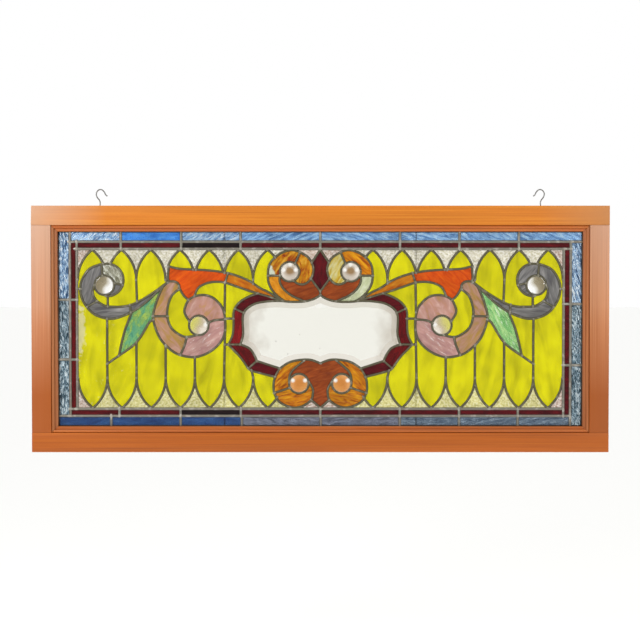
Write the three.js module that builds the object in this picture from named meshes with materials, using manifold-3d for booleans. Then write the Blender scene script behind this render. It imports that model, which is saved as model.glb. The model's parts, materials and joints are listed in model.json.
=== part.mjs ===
// A leaded stained glass transom window in its wooden sash, hung from two open screw hooks.
// Millimetres, +Z up, the glazed face looks along -Y.
// The origin lies midway between the seats of the two hooks, where a rod or chain carries them.

import * as THREE from 'three';
import { mergeVertices } from 'three/addons/utils/BufferGeometryUtils.js';
import Module from 'manifold-3d';

const wasm = await Module();
wasm.setup();

// ---- Driving dimensions ----

const SASH_WIDTH = 1220;
const SASH_HEIGHT = 521;
const SASH_THICK = 35;
const STOCK_FACE = 41; // width of a rail or stile as seen, outside the glazing bead
const BEAD_WIDTH = 13;
const FIT = 0.3; // clearance between pieces that touch

const PANEL_PLAY = 2; // room round the leaded panel in its rabbet
const LEAD_DEPTH = 6.4;
const GLASS_THICK = 3.2;
const EDGE_LEAD = 8;
const BORDER_LEAD = 5;
const FIELD_LEAD = 4;
const CURVE_TOLERANCE = 2.1; // how far a facet may leave its curve

const BLUE_LINE = [531, 185]; // half width and half height of the came inside the blue border
const RED_LINE = [516.5, 170]; // the same for the came inside the red border
const PICKET_PITCH = 62;
const FIRST_TIP = 111.5; // the innermost picket tip on each side
const TIP_LEVEL = 168;
const VALLEY_LEVEL = 104;

const JEWEL_RADIUS = 19.6;
const JEWEL_LEAD = 3;
const JEWEL_DOME = 6;
const JEWEL_SIDES = 8;
const BEVEL_WIDTH = 12;
const PLATE_THICK = 5;

const HOOK_X = 467.5;
const HOOK_WIRE = 2.6;
const HOOK_CROWN = 35.7; // centre of the wire at the top of the hook, above the sash
const HOOK_SHANK = 20; // threaded end, screwed into the top rail
const BAR_X = 204; // reinforcing bars behind the panel
const BAR_SECTION = [3.2, 9.5];

const HALF_W = SASH_WIDTH / 2;
const HALF_H = SASH_HEIGHT / 2;
const HALF_T = SASH_THICK / 2;
const RABBET_W = HALF_W - STOCK_FACE;
const RABBET_H = HALF_H - STOCK_FACE;
const SIGHT_W = RABBET_W - BEAD_WIDTH;
const SIGHT_H = RABBET_H - BEAD_WIDTH;
const PANEL_W = RABBET_W - PANEL_PLAY;
const PANEL_H = RABBET_H - PANEL_PLAY;
const LEAD_FACE = LEAD_DEPTH / 2;
const GLASS_FACE = GLASS_THICK / 2;
const STOP_FACE = LEAD_FACE + FIT;
const SEAT_HEIGHT = HOOK_CROWN - HOOK_WIRE / 2;
const SASH_CENTRE_Z = -SEAT_HEIGHT - HALF_H;

// ---- Materials ----

const material = (color, roughness, metalness = 0) =>
  new THREE.MeshStandardMaterial({ color, roughness, metalness });

const FIR = material(0xc9722f, 0.5);
const FIR_BEAD = material(0xa8561f, 0.5);
const LEAD = material(0x7d796e, 0.55, 0.8);
const STEEL = material(0x8d8a84, 0.4, 0.9);
const BLUE = material(0x6f97c8, 0.2);
const MAROON = material(0x5e1620, 0.2);
const YELLOW = material(0xd2cc08, 0.2);
const PALE = material(0xd9d6ac, 0.3);
const GREY = material(0x7e7c82, 0.25);
const GREEN = material(0x72b884, 0.2);
const PINK = material(0xc8988e, 0.25);
const ORANGE = material(0xe0650c, 0.2);
const AMBER = material(0xd9821a, 0.2);
const BROWN = material(0x96451c, 0.2);
const CLEAR = material(0xf2f1e8, 0.05);

// ---- Solids from three.js geometry ----

const toSolid = (geometry) => {
  const bare = geometry.index ? geometry.toNonIndexed() : geometry.clone();
  bare.deleteAttribute('normal');
  bare.deleteAttribute('uv');
  const merged = mergeVertices(bare, 1e-4);
  return new wasm.Manifold(
    new wasm.Mesh({
      numProp: 3,
      vertProperties: Float32Array.from(merged.attributes.position.array),
      triVerts: Uint32Array.from(merged.index.array),
    }),
  );
};

const toGeometry = (vertices, triangles) => {
  const geometry = new THREE.BufferGeometry();
  geometry.setAttribute('position', new THREE.BufferAttribute(Float32Array.from(vertices), 3));
  geometry.setIndex(new THREE.BufferAttribute(Uint32Array.from(triangles), 1));
  geometry.computeVertexNormals();
  return geometry;
};

// Flat faces and straight edges that a join left in several pieces become one again.
const CLEAN = 0.02;
const cleanMesh = (solid) => solid.asOriginal().simplify(CLEAN).getMesh();

const solidGeometry = (solid) => {
  const { vertProperties, triVerts } = cleanMesh(solid);
  return toGeometry(vertProperties, triVerts);
};

const union = (solids) => solids.reduce((whole, next) => whole.add(next));

const box = (x0, x1, y0, y1, z0, z1) => {
  const geometry = new THREE.BoxGeometry(x1 - x0, y1 - y0, z1 - z0);
  geometry.translate((x0 + x1) / 2, (y0 + y1) / 2, (z0 + z1) / 2);
  return geometry;
};

// An outline in the panel's plane, given as [x, z], becomes a slab from y0 back to y1.
const slab = (outline, y0, y1, bevel = { bevelEnabled: false }) => {
  const shape = new THREE.Shape(outline.map(([x, z]) => new THREE.Vector2(x, z)));
  const geometry = new THREE.ExtrudeGeometry(shape, { depth: y1 - y0, ...bevel });
  geometry.rotateX(Math.PI / 2);
  geometry.translate(0, y1, 0);
  return geometry;
};

// ---- Lines ----

const across = ([x, z]) => [-x, z];
const mirror = (path) => path.map(across);
const flip = (path) => path.map(([x, z]) => [x, -z]);

// Drops the points of a finely sampled curve that lie within the tolerance of the chord.
const thin = (points) => {
  const [first, last] = [points[0], points.at(-1)];
  const [dx, dz] = [last[0] - first[0], last[1] - first[1]];
  const run = Math.hypot(dx, dz) || 1;
  const off = points.map(([x, z]) => Math.abs((x - first[0]) * dz - (z - first[1]) * dx) / run);
  const worst = off.indexOf(Math.max(...off));
  if (off[worst] < CURVE_TOLERANCE) return [first, last];
  return [...thin(points.slice(0, worst + 1)).slice(0, -1), ...thin(points.slice(worst))];
};

const curve = (...points) => {
  const spline = new THREE.SplineCurve(points.map(([x, z]) => new THREE.Vector2(x, z)));
  return thin(spline.getPoints(points.length * 12).map(({ x, y }) => [x, y]));
};

const arc = ([x, z], radius, from, to) => {
  const path = new THREE.EllipseCurve(x, z, radius, radius, from, to, to < from);
  return thin(path.getPoints(60).map((point) => [point.x, point.y]));
};

const circle = ([x, z], radius, sides) =>
  Array.from({ length: sides }, (_, i) => {
    const angle = (i * 2 * Math.PI) / sides;
    return [x + radius * Math.cos(angle), z + radius * Math.sin(angle)];
  });

// Moves each point of a path sideways, to its left for a positive distance, with mitred corners.
const offset = (path, distance, closed = false) => {
  const leftOf = ([x0, z0], [x1, z1]) => {
    const run = Math.hypot(x1 - x0, z1 - z0);
    return [(z0 - z1) / run, (x1 - x0) / run];
  };
  const last = path.length - 1;
  return path.map((point, i) => {
    const before = i > 0 || closed ? leftOf(path.at(i - 1), point) : leftOf(point, path[1]);
    const after = i < last || closed ? leftOf(point, path[(i + 1) % path.length]) : before;
    const share = distance / (1 + before[0] * after[0] + before[1] * after[1]);
    return [point[0] + share * (before[0] + after[0]), point[1] + share * (before[1] + after[1])];
  });
};

const strip = (path, half) => [...offset(path, half), ...offset(path, -half).reverse()];

// ---- The glazier's drawing: came centre lines, from the centre of the panel ----
// Each list holds lines of the left half that part one colour from another. Pieces of one
// colour that lie side by side are one solid here.

// One side of a picket's pointed end: a round arc, upright at the valley and leaning in to the
// tip. side is -1 for the left of the tip and 1 for the right; end is the level where it stops.
const HALF_PITCH = PICKET_PITCH / 2;
const ARCH_HEIGHT = TIP_LEVEL - VALLEY_LEVEL;
const ARCH_RADIUS = (ARCH_HEIGHT ** 2 + HALF_PITCH ** 2) / (2 * HALF_PITCH);
const archSide = (tipX, side, end) => {
  const top = Math.asin(ARCH_HEIGHT / ARCH_RADIUS);
  const bottom = Math.asin((end - VALLEY_LEVEL) / ARCH_RADIUS);
  const path = arc([HALF_PITCH - ARCH_RADIUS, VALLEY_LEVEL], ARCH_RADIUS, top, bottom);
  return path.map(([reach, z]) => [tipX + side * reach, z]);
};

// Tips are counted from the middle of the window outwards. All are on the left.
const tip = (k) => -(FIRST_TIP + PICKET_PITCH * k);
const valley = (k) => tip(k) - HALF_PITCH;

// Where the outer and inner side of each upper arch stops: at the valley, or at the scroll or
// trumpet in its way. Below, only the innermost arch is cut short, by the bottom scroll.
const UPPER_ENDS = [
  [VALLEY_LEVEL, 152],
  [119, VALLEY_LEVEL],
  [125.5, 120],
  [131.5, 125.5],
  [VALLEY_LEVEL, VALLEY_LEVEL],
  [138.5, VALLEY_LEVEL],
  [VALLEY_LEVEL, 138.5],
];
const lowerEnds = (k) => [VALLEY_LEVEL, k === 0 ? 145 : VALLEY_LEVEL];

const arch = (k, [outer, inner]) => [archSide(tip(k), -1, outer), archSide(tip(k), 1, inner)];
const pickets = [
  ...UPPER_ENDS.flatMap((ends, k) => arch(k, ends)),
  ...UPPER_ENDS.flatMap((_, k) => arch(k, lowerEnds(k)).map(flip)),
  [[valley(3), VALLEY_LEVEL], [-323, 98]],
];

const greyScroll = [
  curve([-464, 138], [-490, 127], [-506, 103], [-509, 80], [-501, 55], [-479, 31], [-443, 21.5],
    [-404, 34], [-373, 54], [-348, 77], [-322, 101]),
  curve([-479, 93], [-483, 79], [-478, 64], [-466, 54], [-448, 47.5], [-405, 50], [-361, 72.5],
    [-322, 101]),
  arc([-452, 104], 34.5, 1.93, -1.65),
  [[-516, 85], [-509, 85]],
];

const leaf = [
  curve([-400, 36], [-409, 13], [-415, -3], [-422, -30], [-428, -57]),
  curve([-354, 20], [-363, 14], [-372, -1], [-386, -23], [-402, -39], [-428, -57]),
];

const pinkScroll = [
  curve([-322, 101], [-333, 91], [-343, 70], [-350, 50], [-355, 27], [-350, 2], [-337, -25],
    [-313, -48], [-292, -57], [-267, -60], [-243, -53], [-223, -40], [-208, -22], [-202, -2],
    [-202, 19], [-206, 41], [-215, 55], [-229, 67], [-246, 72], [-264, 70], [-279, 62],
    [-287, 46], [-288, 34], [-278, 16]),
  curve([-300, 84], [-314, 72], [-322, 54], [-325, 31], [-320, 9], [-308, -6], [-286, -17],
    [-262, -13]),
  curve([-322, 101], [-310, 101], [-302, 97], [-299, 92], [-300, 84]),
  [[-202, -2], [-203, -33]],
];

const trumpet = [
  curve([-321, 133], [-298, 127.5], [-255, 125.5], [-213, 121.5], [-180, 114], [-150, 101.5],
    [-128, 87], [-107, 76.5], [-80, 59]),
  curve([-321, 133], [-323, 112], [-322, 101]),
  curve([-300, 90], [-296, 81], [-289, 70], [-280, 62]),
  curve([-267, 70], [-259, 87], [-244, 96], [-225, 100], [-203, 98.5], [-177, 90], [-151, 81],
    [-111, 69], [-80, 59]),
];

const plateEdge = [
  curve([0, 72], [-13, 64], [-33, 58.5], [-60, 57.5], [-89, 59.5], [-117, 58], [-139, 53.5],
    [-156, 43], [-163, 33], [-165, 19], [-164, -11], [-170, -33]),
  curve([-170, -33], [-151, -41], [-140, -56], [-135, -68]),
  [[-135, -68], [-86, -84]],
  curve([-86, -84], [-67, -71.5], [-45, -66], [-21, -65.5], [0, -73]),
];

const cartouche = [
  ...plateEdge,
  curve([-133, 75.5], [-151, 69], [-167, 60], [-178, 49], [-184, 35], [-184, 12], [-186, -12],
    [-195, -33]),
  curve([-195, -33], [-183, -46], [-173, -56], [-163, -69], [-153, -84]),
  [[-203, -33], [-195, -33]],
  [[-153, -84], [-146, -89], [-96, -102]],
];

const bottomScroll = [
  curve([-86, -84], [-94, -97], [-99, -114], [-98, -135], [-87, -155], [-62, -166.5], [-40, -165],
    [-20, -152], [-16, -139], [-16, -127], [-24, -113]),
  curve([-34, -67], [-49, -79], [-61, -91], [-66, -104], [-66, -114]),
  [[-19, -151], [0, -168]],
];

const topScroll = [
  curve([-43, 163], [-60, 167.5], [-80, 162.5], [-97, 151], [-108, 136], [-111, 118],
    [-110, 100], [-103, 84], [-90, 69], [-75, 59]),
  curve([-43, 163], [-26, 152], [-17, 138], [-14.5, 124], [-20, 106], [-33, 95.5], [-46, 95.5],
    [-58, 103]),
  curve([-85, 114], [-86, 100], [-77, 84], [-61, 71], [-45, 63.5], [-33, 58.5]),
];

const diamond = [
  [[0, 168], [-18, 141]],
  [[-20, 107], [0, 80]],
];

const jewels = {
  grey_scroll: [-458, 93],
  pink_scroll: [-258, 7.6],
  top_scroll: [-65, 121.5],
  bottom_scroll: [-45.5, -116],
};

// ---- The borders: three rectangles of came, tied by short ones laid across the glass ----

const TOP_CROSSES = [-423, -295, -169, 0, 169, 295, 421];
const LOWER_RED_CROSSES = [-427, -297, -169, 0, 169, 295, 420];
const LOWER_BLUE_CROSSES = [-444.5, -297, -167, 1, 169, 295, 419.5];
const LEFT_CROSSES = [62, -65];
const RIGHT_CROSSES = [53, -77];

const EDGE_LINE = [PANEL_W - EDGE_LEAD / 2, PANEL_H - EDGE_LEAD / 2];

const rectangle = ([w, h], lead) => {
  const [far, high] = [w + lead / 2, h + lead / 2];
  const sides = [
    [[-far, h], [far, h]],
    [[w, high], [w, -high]],
  ];
  return [...sides, ...sides.map((side) => side.map(([x, z]) => [-x, -z]))];
};

// At every corner one border runs through and the next one butts against it, turning like a
// pinwheel.
const pinwheel = ([w, h], [outW, outH]) => [
  [[-w, h], [-w, outH]],
  [[w, h], [outW, h]],
  [[w, -h], [w, -outH]],
  [[-w, -h], [-outW, -h]],
];

const upright = (x, z0, z1) => [[x, z0], [x, z1]];
const level = (z, x0, x1) => [[x0, z], [x1, z]];
const crosses = [
  ...pinwheel(BLUE_LINE, EDGE_LINE),
  ...pinwheel(RED_LINE, BLUE_LINE),
  ...TOP_CROSSES.map((x) => upright(x, RED_LINE[1], EDGE_LINE[1])),
  ...LOWER_RED_CROSSES.map((x) => upright(x, -RED_LINE[1], -BLUE_LINE[1])),
  ...LOWER_BLUE_CROSSES.map((x) => upright(x, -BLUE_LINE[1], -EDGE_LINE[1])),
  ...LEFT_CROSSES.map((z) => level(z, -EDGE_LINE[0], -RED_LINE[0])),
  ...RIGHT_CROSSES.map((z) => level(z, RED_LINE[0], EDGE_LINE[0])),
];

// ---- Came and glass ----

const motifs = [
  pickets, greyScroll, leaf, pinkScroll, trumpet, cartouche, bottomScroll, topScroll, diamond,
];
const bothSides = (paths) => [...paths, ...paths.map(mirror)];
const jewelCentres = bothSides([Object.values(jewels)]).flat();
const RING_RADIUS = JEWEL_RADIUS + JEWEL_LEAD / 2;

// Every line as [path, width of its came].
const lines = [
  ...rectangle(EDGE_LINE, EDGE_LEAD).map((path) => [path, EDGE_LEAD]),
  ...rectangle(BLUE_LINE, BORDER_LEAD).map((path) => [path, BORDER_LEAD]),
  ...rectangle(RED_LINE, BORDER_LEAD).map((path) => [path, BORDER_LEAD]),
  ...bothSides(motifs.flat()).map((path) => [path, FIELD_LEAD]),
];

// The came along every line, wider by extra on each side.
const bars = (extra) =>
  union(lines.map(([path, lead]) =>
    toSolid(slab(strip(path, lead / 2 + extra), -LEAD_FACE, LEAD_FACE))));

const rings = (extra) => {
  const half = (JEWEL_LEAD / 2 + extra) / Math.cos(Math.PI / JEWEL_SIDES);
  return union(jewelCentres.map((centre) => {
    const outer = circle(centre, RING_RADIUS + half, JEWEL_SIDES);
    const inner = circle(centre, RING_RADIUS - half, JEWEL_SIDES);
    const disc = toSolid(slab(outer, -LEAD_FACE, LEAD_FACE));
    return disc.subtract(toSolid(slab(inner, -LEAD_FACE - 1, LEAD_FACE + 1)));
  }));
};

const [EDGE_W, EDGE_H] = EDGE_LINE;
const cameNet = (extra) => bars(extra).add(rings(extra));

// The pale pieces between the picket tips hold together along the edge that they have in the
// channel of the border came, on one side of its web.
const LINK_ROOM = 2.9;
const LINK_DEPTH = 2.2;
const linkBox = (side, extra) => {
  const low = RED_LINE[1] - BORDER_LEAD / 2 - FIT * 2 - extra;
  const [z0, z1] = [low, low + LINK_DEPTH + 2 * extra].map((z) => side * z).sort((a, b) => a - b);
  const reach = RED_LINE[0] - LINK_ROOM + extra;
  return toSolid(box(-reach, reach, -GLASS_FACE - extra, GLASS_FACE + extra, z0, z1));
};

const crossBars = union(crosses.map((path) =>
  toSolid(slab(strip(path, BORDER_LEAD / 2), -LEAD_FACE, -GLASS_FACE - FIT))));
const leadNet = cameNet(0).add(crossBars).subtract(linkBox(1, FIT)).subtract(linkBox(-1, FIT));

// Splits a solid's mesh where it falls into loose pieces, each with its own vertices.
const loosePieces = ({ vertProperties, triVerts }) => {
  const owner = Array.from({ length: vertProperties.length / 3 }, (_, i) => i);
  const root = (i) => {
    while (owner[i] !== i) i = owner[i] = owner[owner[i]];
    return i;
  };
  for (let t = 0; t < triVerts.length; t += 3) {
    owner[root(triVerts[t + 1])] = root(triVerts[t]);
    owner[root(triVerts[t + 2])] = root(triVerts[t]);
  }
  const pieces = new Map();
  for (let t = 0; t < triVerts.length; t += 3) {
    const key = root(triVerts[t]);
    if (!pieces.has(key)) pieces.set(key, []);
    for (const i of triVerts.slice(t, t + 3)) {
      pieces.get(key).push([...vertProperties.slice(3 * i, 3 * i + 3)]);
    }
  }
  return [...pieces.values()];
};

const sheet = toSolid(box(-EDGE_W, EDGE_W, -GLASS_FACE, GLASS_FACE, -EDGE_H, EDGE_H));
const glassPieces = loosePieces(cleanMesh(sheet.subtract(cameNet(FIT))));

const covers = (corners, [x, z]) => {
  const side = ([ax, , az], [bx, , bz]) => Math.sign((bx - ax) * (z - az) - (bz - az) * (x - ax));
  const [a, b, c] = corners;
  const turns = [side(a, b), side(b, c), side(c, a)];
  return turns.every((turn) => turn >= 0) || turns.every((turn) => turn <= 0);
};

// The loose piece of glass that lies at [x, z].
const glassAt = (point) => {
  const found = glassPieces.find((corners) => {
    for (let i = 0; i < corners.length; i += 3) {
      const triangle = corners.slice(i, i + 3);
      if (triangle.every(([, y]) => y < 0) && covers(triangle, point)) return true;
    }
    return false;
  });
  if (!found) throw new Error(`no glass at ${point}`);
  const geometry = new THREE.BufferGeometry();
  geometry.setAttribute('position', new THREE.Float32BufferAttribute(found.flat(), 3));
  return mergeVertices(geometry);
};

// ---- The window ----

const panel = new THREE.Group();
const sash = new THREE.Group();

const addMesh = (group, name, geometry, look) => {
  const mesh = new THREE.Mesh(geometry, look);
  mesh.name = name;
  group.add(mesh);
  return mesh;
};

const addPanes = (name, look, point) => {
  addMesh(panel, `${name}_left`, glassAt(point), look);
  addMesh(panel, `${name}_right`, glassAt(across(point)), look);
};

const addGlass = () => {
  addMesh(panel, 'blue_border', glassAt([-545, 0]), BLUE);
  addMesh(panel, 'red_border', glassAt([-524, 0]), MAROON);
  addPanes('picket_outer', YELLOW, [-483, -40]);
  addPanes('picket_corner', YELLOW, [tip(6), 150]);
  addPanes('picket_inner', YELLOW, [tip(4), 110]);
  addPanes('picket_tip_3', YELLOW, [tip(3), 145]);
  addPanes('picket_tip_2', YELLOW, [tip(2), 145]);
  addPanes('picket_tip_1', YELLOW, [tip(1), 140]);
  addPanes('yellow_heart', YELLOW, [-190, 75]);
  addPanes('yellow_crescent', YELLOW, [-306, 30]);
  addPanes('grey_scroll', GREY, [-443, 34]);
  addPanes('leaf', GREEN, [-385, 20]);
  addPanes('pink_scroll', PINK, [-338, 40]);
  addPanes('trumpet', ORANGE, [-250, 110]);
  addPanes('cartouche_side', MAROON, [-174, 0]);
  addPanes('bottom_scroll', AMBER, [-80, -110]);
  addPanes('top_scroll', AMBER, [-97, 125]);
  addMesh(panel, 'top_heart', glassAt([-40, 78]), BROWN);
  addMesh(panel, 'bottom_heart', glassAt([0, -100]), BROWN);
  addMesh(panel, 'diamond', glassAt([0, 125]), MAROON);
};

// The pale ground beyond the tips: a triangle over every valley, half a one in each corner, and
// the slips beside the middle scrolls.
const PALE_LEVEL = 158;
const addPaleRow = (name, side, slips) => {
  const ground = [0, 1, 2, 3, 4, 5].map((k) => [valley(k), side * PALE_LEVEL]);
  const points = bothSides([[...ground, [-508, side * PALE_LEVEL], ...slips]]).flat();
  const pieces = points.map((point) => toSolid(glassAt(point)));
  addMesh(panel, name, solidGeometry(union([...pieces, linkBox(side, 0)])), PALE);
};

const addBevelledPlate = () => {
  const half = plateEdge.flatMap((path) => path.slice(0, -1));
  const bottom = plateEdge.at(-1).at(-1);
  const outline = [...half, bottom, ...mirror(half.slice(1)).reverse()];
  const inset = offset(outline, FIELD_LEAD / 2 + FIT, true);
  const rise = PLATE_THICK - GLASS_THICK;
  const bevel = {
    bevelEnabled: true, bevelThickness: rise, bevelSize: BEVEL_WIDTH,
    bevelOffset: -BEVEL_WIDTH, bevelSegments: 1,
  };
  const lens = toSolid(slab(inset, -GLASS_FACE, GLASS_FACE, bevel));
  const reach = SIGHT_W;
  const front = toSolid(box(-reach, reach, -PLATE_THICK, GLASS_FACE, -reach, reach));
  addMesh(panel, 'bevelled_plate', solidGeometry(lens.intersect(front)), CLEAR);
};

const addJewels = () => {
  const radius = RING_RADIUS - (JEWEL_LEAD / 2 + FIT) / Math.cos(Math.PI / JEWEL_SIDES);
  const profile = [
    [0, -GLASS_FACE - JEWEL_DOME],
    [radius * 0.6, -GLASS_FACE - JEWEL_DOME * 0.78],
    [radius, -GLASS_FACE],
    [radius, GLASS_FACE],
    [0, GLASS_FACE],
  ].map(([x, y]) => new THREE.Vector2(x, y));
  for (const [name, centre] of Object.entries(jewels)) {
    for (const [side, [x, z]] of [['left', centre], ['right', across(centre)]]) {
      const geometry = new THREE.LatheGeometry(profile, JEWEL_SIDES);
      const jewel = addMesh(panel, `jewel_${name}_${side}`, solidGeometry(toSolid(geometry)), CLEAR);
      jewel.position.set(x, 0, z);
    }
  }
};

const addBars = () => {
  const [width, depth] = BAR_SECTION;
  const end = SIGHT_H - FIT;
  const bar = box(-width / 2, width / 2, STOP_FACE, STOP_FACE + depth, -end, end);
  addMesh(panel, 'reinforcing_bar_left', bar, STEEL).position.x = -BAR_X;
  addMesh(panel, 'reinforcing_bar_right', bar, STEEL).position.x = BAR_X;
};

// Rails run the full width. The stiles stand between them on stub tenons. A lip at the back of
// each member stops the panel, and a moulded bead holds it from the front.
const TENON = { thick: 11, wide: 26, long: 24, fromEdge: 7 };
const tenonBox = (side, end, extra) => {
  const outer = HALF_W - TENON.fromEdge + extra;
  const inner = outer - TENON.wide - 2 * extra;
  const [x0, x1] = [side * inner, side * outer].sort((a, b) => a - b);
  const [z0, z1] = [RABBET_H - FIT - 1, RABBET_H + TENON.long + extra].map((z) => end * z)
    .sort((a, b) => a - b);
  const y = TENON.thick / 2 + extra;
  return toSolid(box(x0, x1, -y, y, z0, z1));
};

const addRails = () => {
  for (const [name, end] of [['top_rail', 1], ['bottom_rail', -1]]) {
    const spans = (low, high) => [end * low, end * high].sort((a, b) => a - b);
    const stock = toSolid(box(-HALF_W, HALF_W, -HALF_T, HALF_T, ...spans(RABBET_H, HALF_H)));
    const reach = RABBET_W - FIT;
    const lip = toSolid(box(-reach, reach, STOP_FACE, HALF_T, ...spans(SIGHT_H, RABBET_H + 1)));
    const mortised = [-1, 1].reduce(
      (rail, side) => rail.subtract(tenonBox(side, end, FIT)),
      stock.add(lip),
    );
    const rail = end > 0 ? hookHoles().reduce((cut, hole) => cut.subtract(hole), mortised) : mortised;
    addMesh(sash, name, solidGeometry(rail), FIR);
  }
};

const addStiles = () => {
  for (const [name, side] of [['left_stile', -1], ['right_stile', 1]]) {
    const spans = (low, high) => [side * low, side * high].sort((a, b) => a - b);
    const end = RABBET_H - FIT;
    const stock = toSolid(box(...spans(RABBET_W, HALF_W), -HALF_T, HALF_T, -end, end));
    const short = SIGHT_H - FIT;
    const lip = toSolid(box(...spans(SIGHT_W, RABBET_W + 1), STOP_FACE, HALF_T, -short, short));
    const stile = union([stock, lip, tenonBox(side, 1, 0), tenonBox(side, -1, 0)]);
    addMesh(sash, name, solidGeometry(stile), FIR);
  }
};

// The bead's section, as [distance in from the rabbet, depth]: a round nose next to the stock,
// a quirk, and a flat fillet down to the glass.
const BEAD_SECTION = [
  [FIT, -STOP_FACE],
  [FIT, -14],
  [1.6, -16.2],
  [3.6, -16.9],
  [5.6, -16.2],
  [6.9, -14],
  [7.2, -11.4],
  [12.4, -11.4],
  [BEAD_WIDTH, -10.6],
  [BEAD_WIDTH, -STOP_FACE],
];
const addBead = (name, halfLength, reach, turn) => {
  const shape = new THREE.Shape(BEAD_SECTION.map(([inward, y]) => new THREE.Vector2(inward, y)));
  const geometry = new THREE.ExtrudeGeometry(shape, { depth: 2 * halfLength, bevelEnabled: false });
  geometry.rotateY(Math.PI / 2);
  geometry.translate(-halfLength, 0, 0);
  const places = geometry.attributes.position;
  for (let i = 0; i < places.count; i += 1) {
    const inward = -places.getZ(i);
    places.setX(i, Math.sign(places.getX(i)) * (halfLength - inward - FIT));
    places.setZ(i, reach - inward);
  }
  geometry.rotateY(turn);
  addMesh(sash, name, geometry, FIR_BEAD);
};

const addBeads = () => {
  addBead('top_bead', RABBET_W, RABBET_H, 0);
  addBead('bottom_bead', RABBET_W, RABBET_H, Math.PI);
  addBead('right_bead', RABBET_H, RABBET_W, Math.PI / 2);
  addBead('left_bead', RABBET_H, RABBET_W, -Math.PI / 2);
};

// An open hook of bent wire, drawn for the left: its mouth looks towards the middle. Each point
// is [towards the middle, above the sash].
const HOOK_BEND = [
  [0, -HOOK_SHANK],
  [0, 0],
  [-0.4, 10],
  [-7.6, 21],
  [-7.4, 29.5],
  [1.5, HOOK_CROWN],
  [9, 30],
  [12.2, 23.8],
  [15.6, 21],
];
const HOOK_SIDES = 6;
const HOOK_STEPS = 13;

const addHook = (name, side) => {
  const bend = HOOK_BEND.map(([x, z]) => new THREE.Vector3(-side * x, 0, z));
  const wire = new THREE.Shape(
    circle([0, 0], HOOK_WIRE / 2, HOOK_SIDES).map(([x, z]) => new THREE.Vector2(x, z)),
  );
  const geometry = new THREE.ExtrudeGeometry(wire, {
    steps: HOOK_STEPS,
    extrudePath: new THREE.CatmullRomCurve3(bend),
  });
  addMesh(sash, name, geometry, STEEL).position.set(side * HOOK_X, 0, HALF_H);
};

const hookHoles = () =>
  [-1, 1].map((side) => {
    const depth = HOOK_SHANK + 1;
    const geometry = new THREE.CylinderGeometry(HOOK_WIRE / 2 + 0.5, HOOK_WIRE / 2 + 0.5, depth, 8);
    geometry.rotateX(Math.PI / 2);
    geometry.translate(side * HOOK_X, 0, HALF_H - depth / 2 + FIT);
    return toSolid(geometry);
  });

const addHooks = () => {
  addHook('hook_left', -1);
  addHook('hook_right', 1);
};

addMesh(panel, 'lead_came', solidGeometry(leadNet), LEAD);
addGlass();
addPaleRow('pale_ground_top', 1, [[-93, 163], [-20, 161]]);
addPaleRow('pale_ground_bottom', -1, [[-93, -163], [-19, -162]]);
addBevelledPlate();
addJewels();
addBars();
addRails();
addStiles();
addBeads();
addHooks();

const stainedGlassWindow = new THREE.Group();
stainedGlassWindow.add(sash, panel);
sash.position.z = SASH_CENTRE_Z;
panel.position.z = SASH_CENTRE_Z;

export default stainedGlassWindow;
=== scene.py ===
# A leaded stained glass transom window in its fir sash, hung from two wire hooks.
# Metres, +Z up, the face looks along -Y. The drawing of the came is in millimetres.

import json
import math
import random

import bpy
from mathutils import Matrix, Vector
from mathutils.geometry import delaunay_2d_cdt


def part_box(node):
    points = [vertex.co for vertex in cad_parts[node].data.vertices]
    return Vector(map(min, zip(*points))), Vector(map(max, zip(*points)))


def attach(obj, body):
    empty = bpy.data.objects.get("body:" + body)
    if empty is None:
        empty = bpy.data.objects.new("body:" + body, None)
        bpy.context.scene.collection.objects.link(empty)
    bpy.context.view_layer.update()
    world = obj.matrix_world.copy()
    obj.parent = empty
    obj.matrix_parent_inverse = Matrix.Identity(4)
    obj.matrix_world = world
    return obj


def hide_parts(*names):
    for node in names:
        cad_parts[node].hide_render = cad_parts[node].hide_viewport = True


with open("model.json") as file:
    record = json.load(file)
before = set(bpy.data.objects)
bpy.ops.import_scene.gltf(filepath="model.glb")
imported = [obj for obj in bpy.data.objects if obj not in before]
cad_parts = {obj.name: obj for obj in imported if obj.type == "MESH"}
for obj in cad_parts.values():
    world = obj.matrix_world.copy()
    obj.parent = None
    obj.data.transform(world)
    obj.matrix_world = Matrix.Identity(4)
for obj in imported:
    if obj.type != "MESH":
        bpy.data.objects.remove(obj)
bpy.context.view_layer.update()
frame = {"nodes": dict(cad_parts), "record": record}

MM = 0.001
DOUBLES = 0.01 * MM  # points closer than this are one point
SAME_PLANE = math.radians(1)  # faces that meet flatter than this are one face
dice = random.Random(1895)

# ---- Places taken from the frame ----

panel_low, panel_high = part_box("lead_came")
PANEL = (panel_low + panel_high) / 2
LEAD_FACE = (panel_high.y - panel_low.y) / 2 / MM
glass_low, glass_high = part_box("diamond")
GLASS_FACE = (glass_high.y - glass_low.y) / 2 / MM
sash_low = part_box("bottom_rail")[0]
sash_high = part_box("top_rail")[1]

# ---- Small helpers ----


def only(*pieces):
    """Selects these pieces and nothing else."""
    bpy.ops.object.select_all(action="DESELECT")
    for piece in pieces:
        piece.select_set(True)
    bpy.context.view_layer.objects.active = pieces[0]


def edit(piece, mode="FACE"):
    """Opens a piece in edit mode with nothing selected."""
    only(piece)
    bpy.ops.object.mode_set(mode="EDIT")
    bpy.ops.mesh.select_mode(type=mode)
    bpy.ops.mesh.select_all(action="DESELECT")


def edit_all(piece):
    """Opens a piece in edit mode with everything selected."""
    edit(piece)
    bpy.ops.mesh.select_all(action="SELECT")


def done():
    bpy.ops.object.mode_set(mode="OBJECT")


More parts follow.
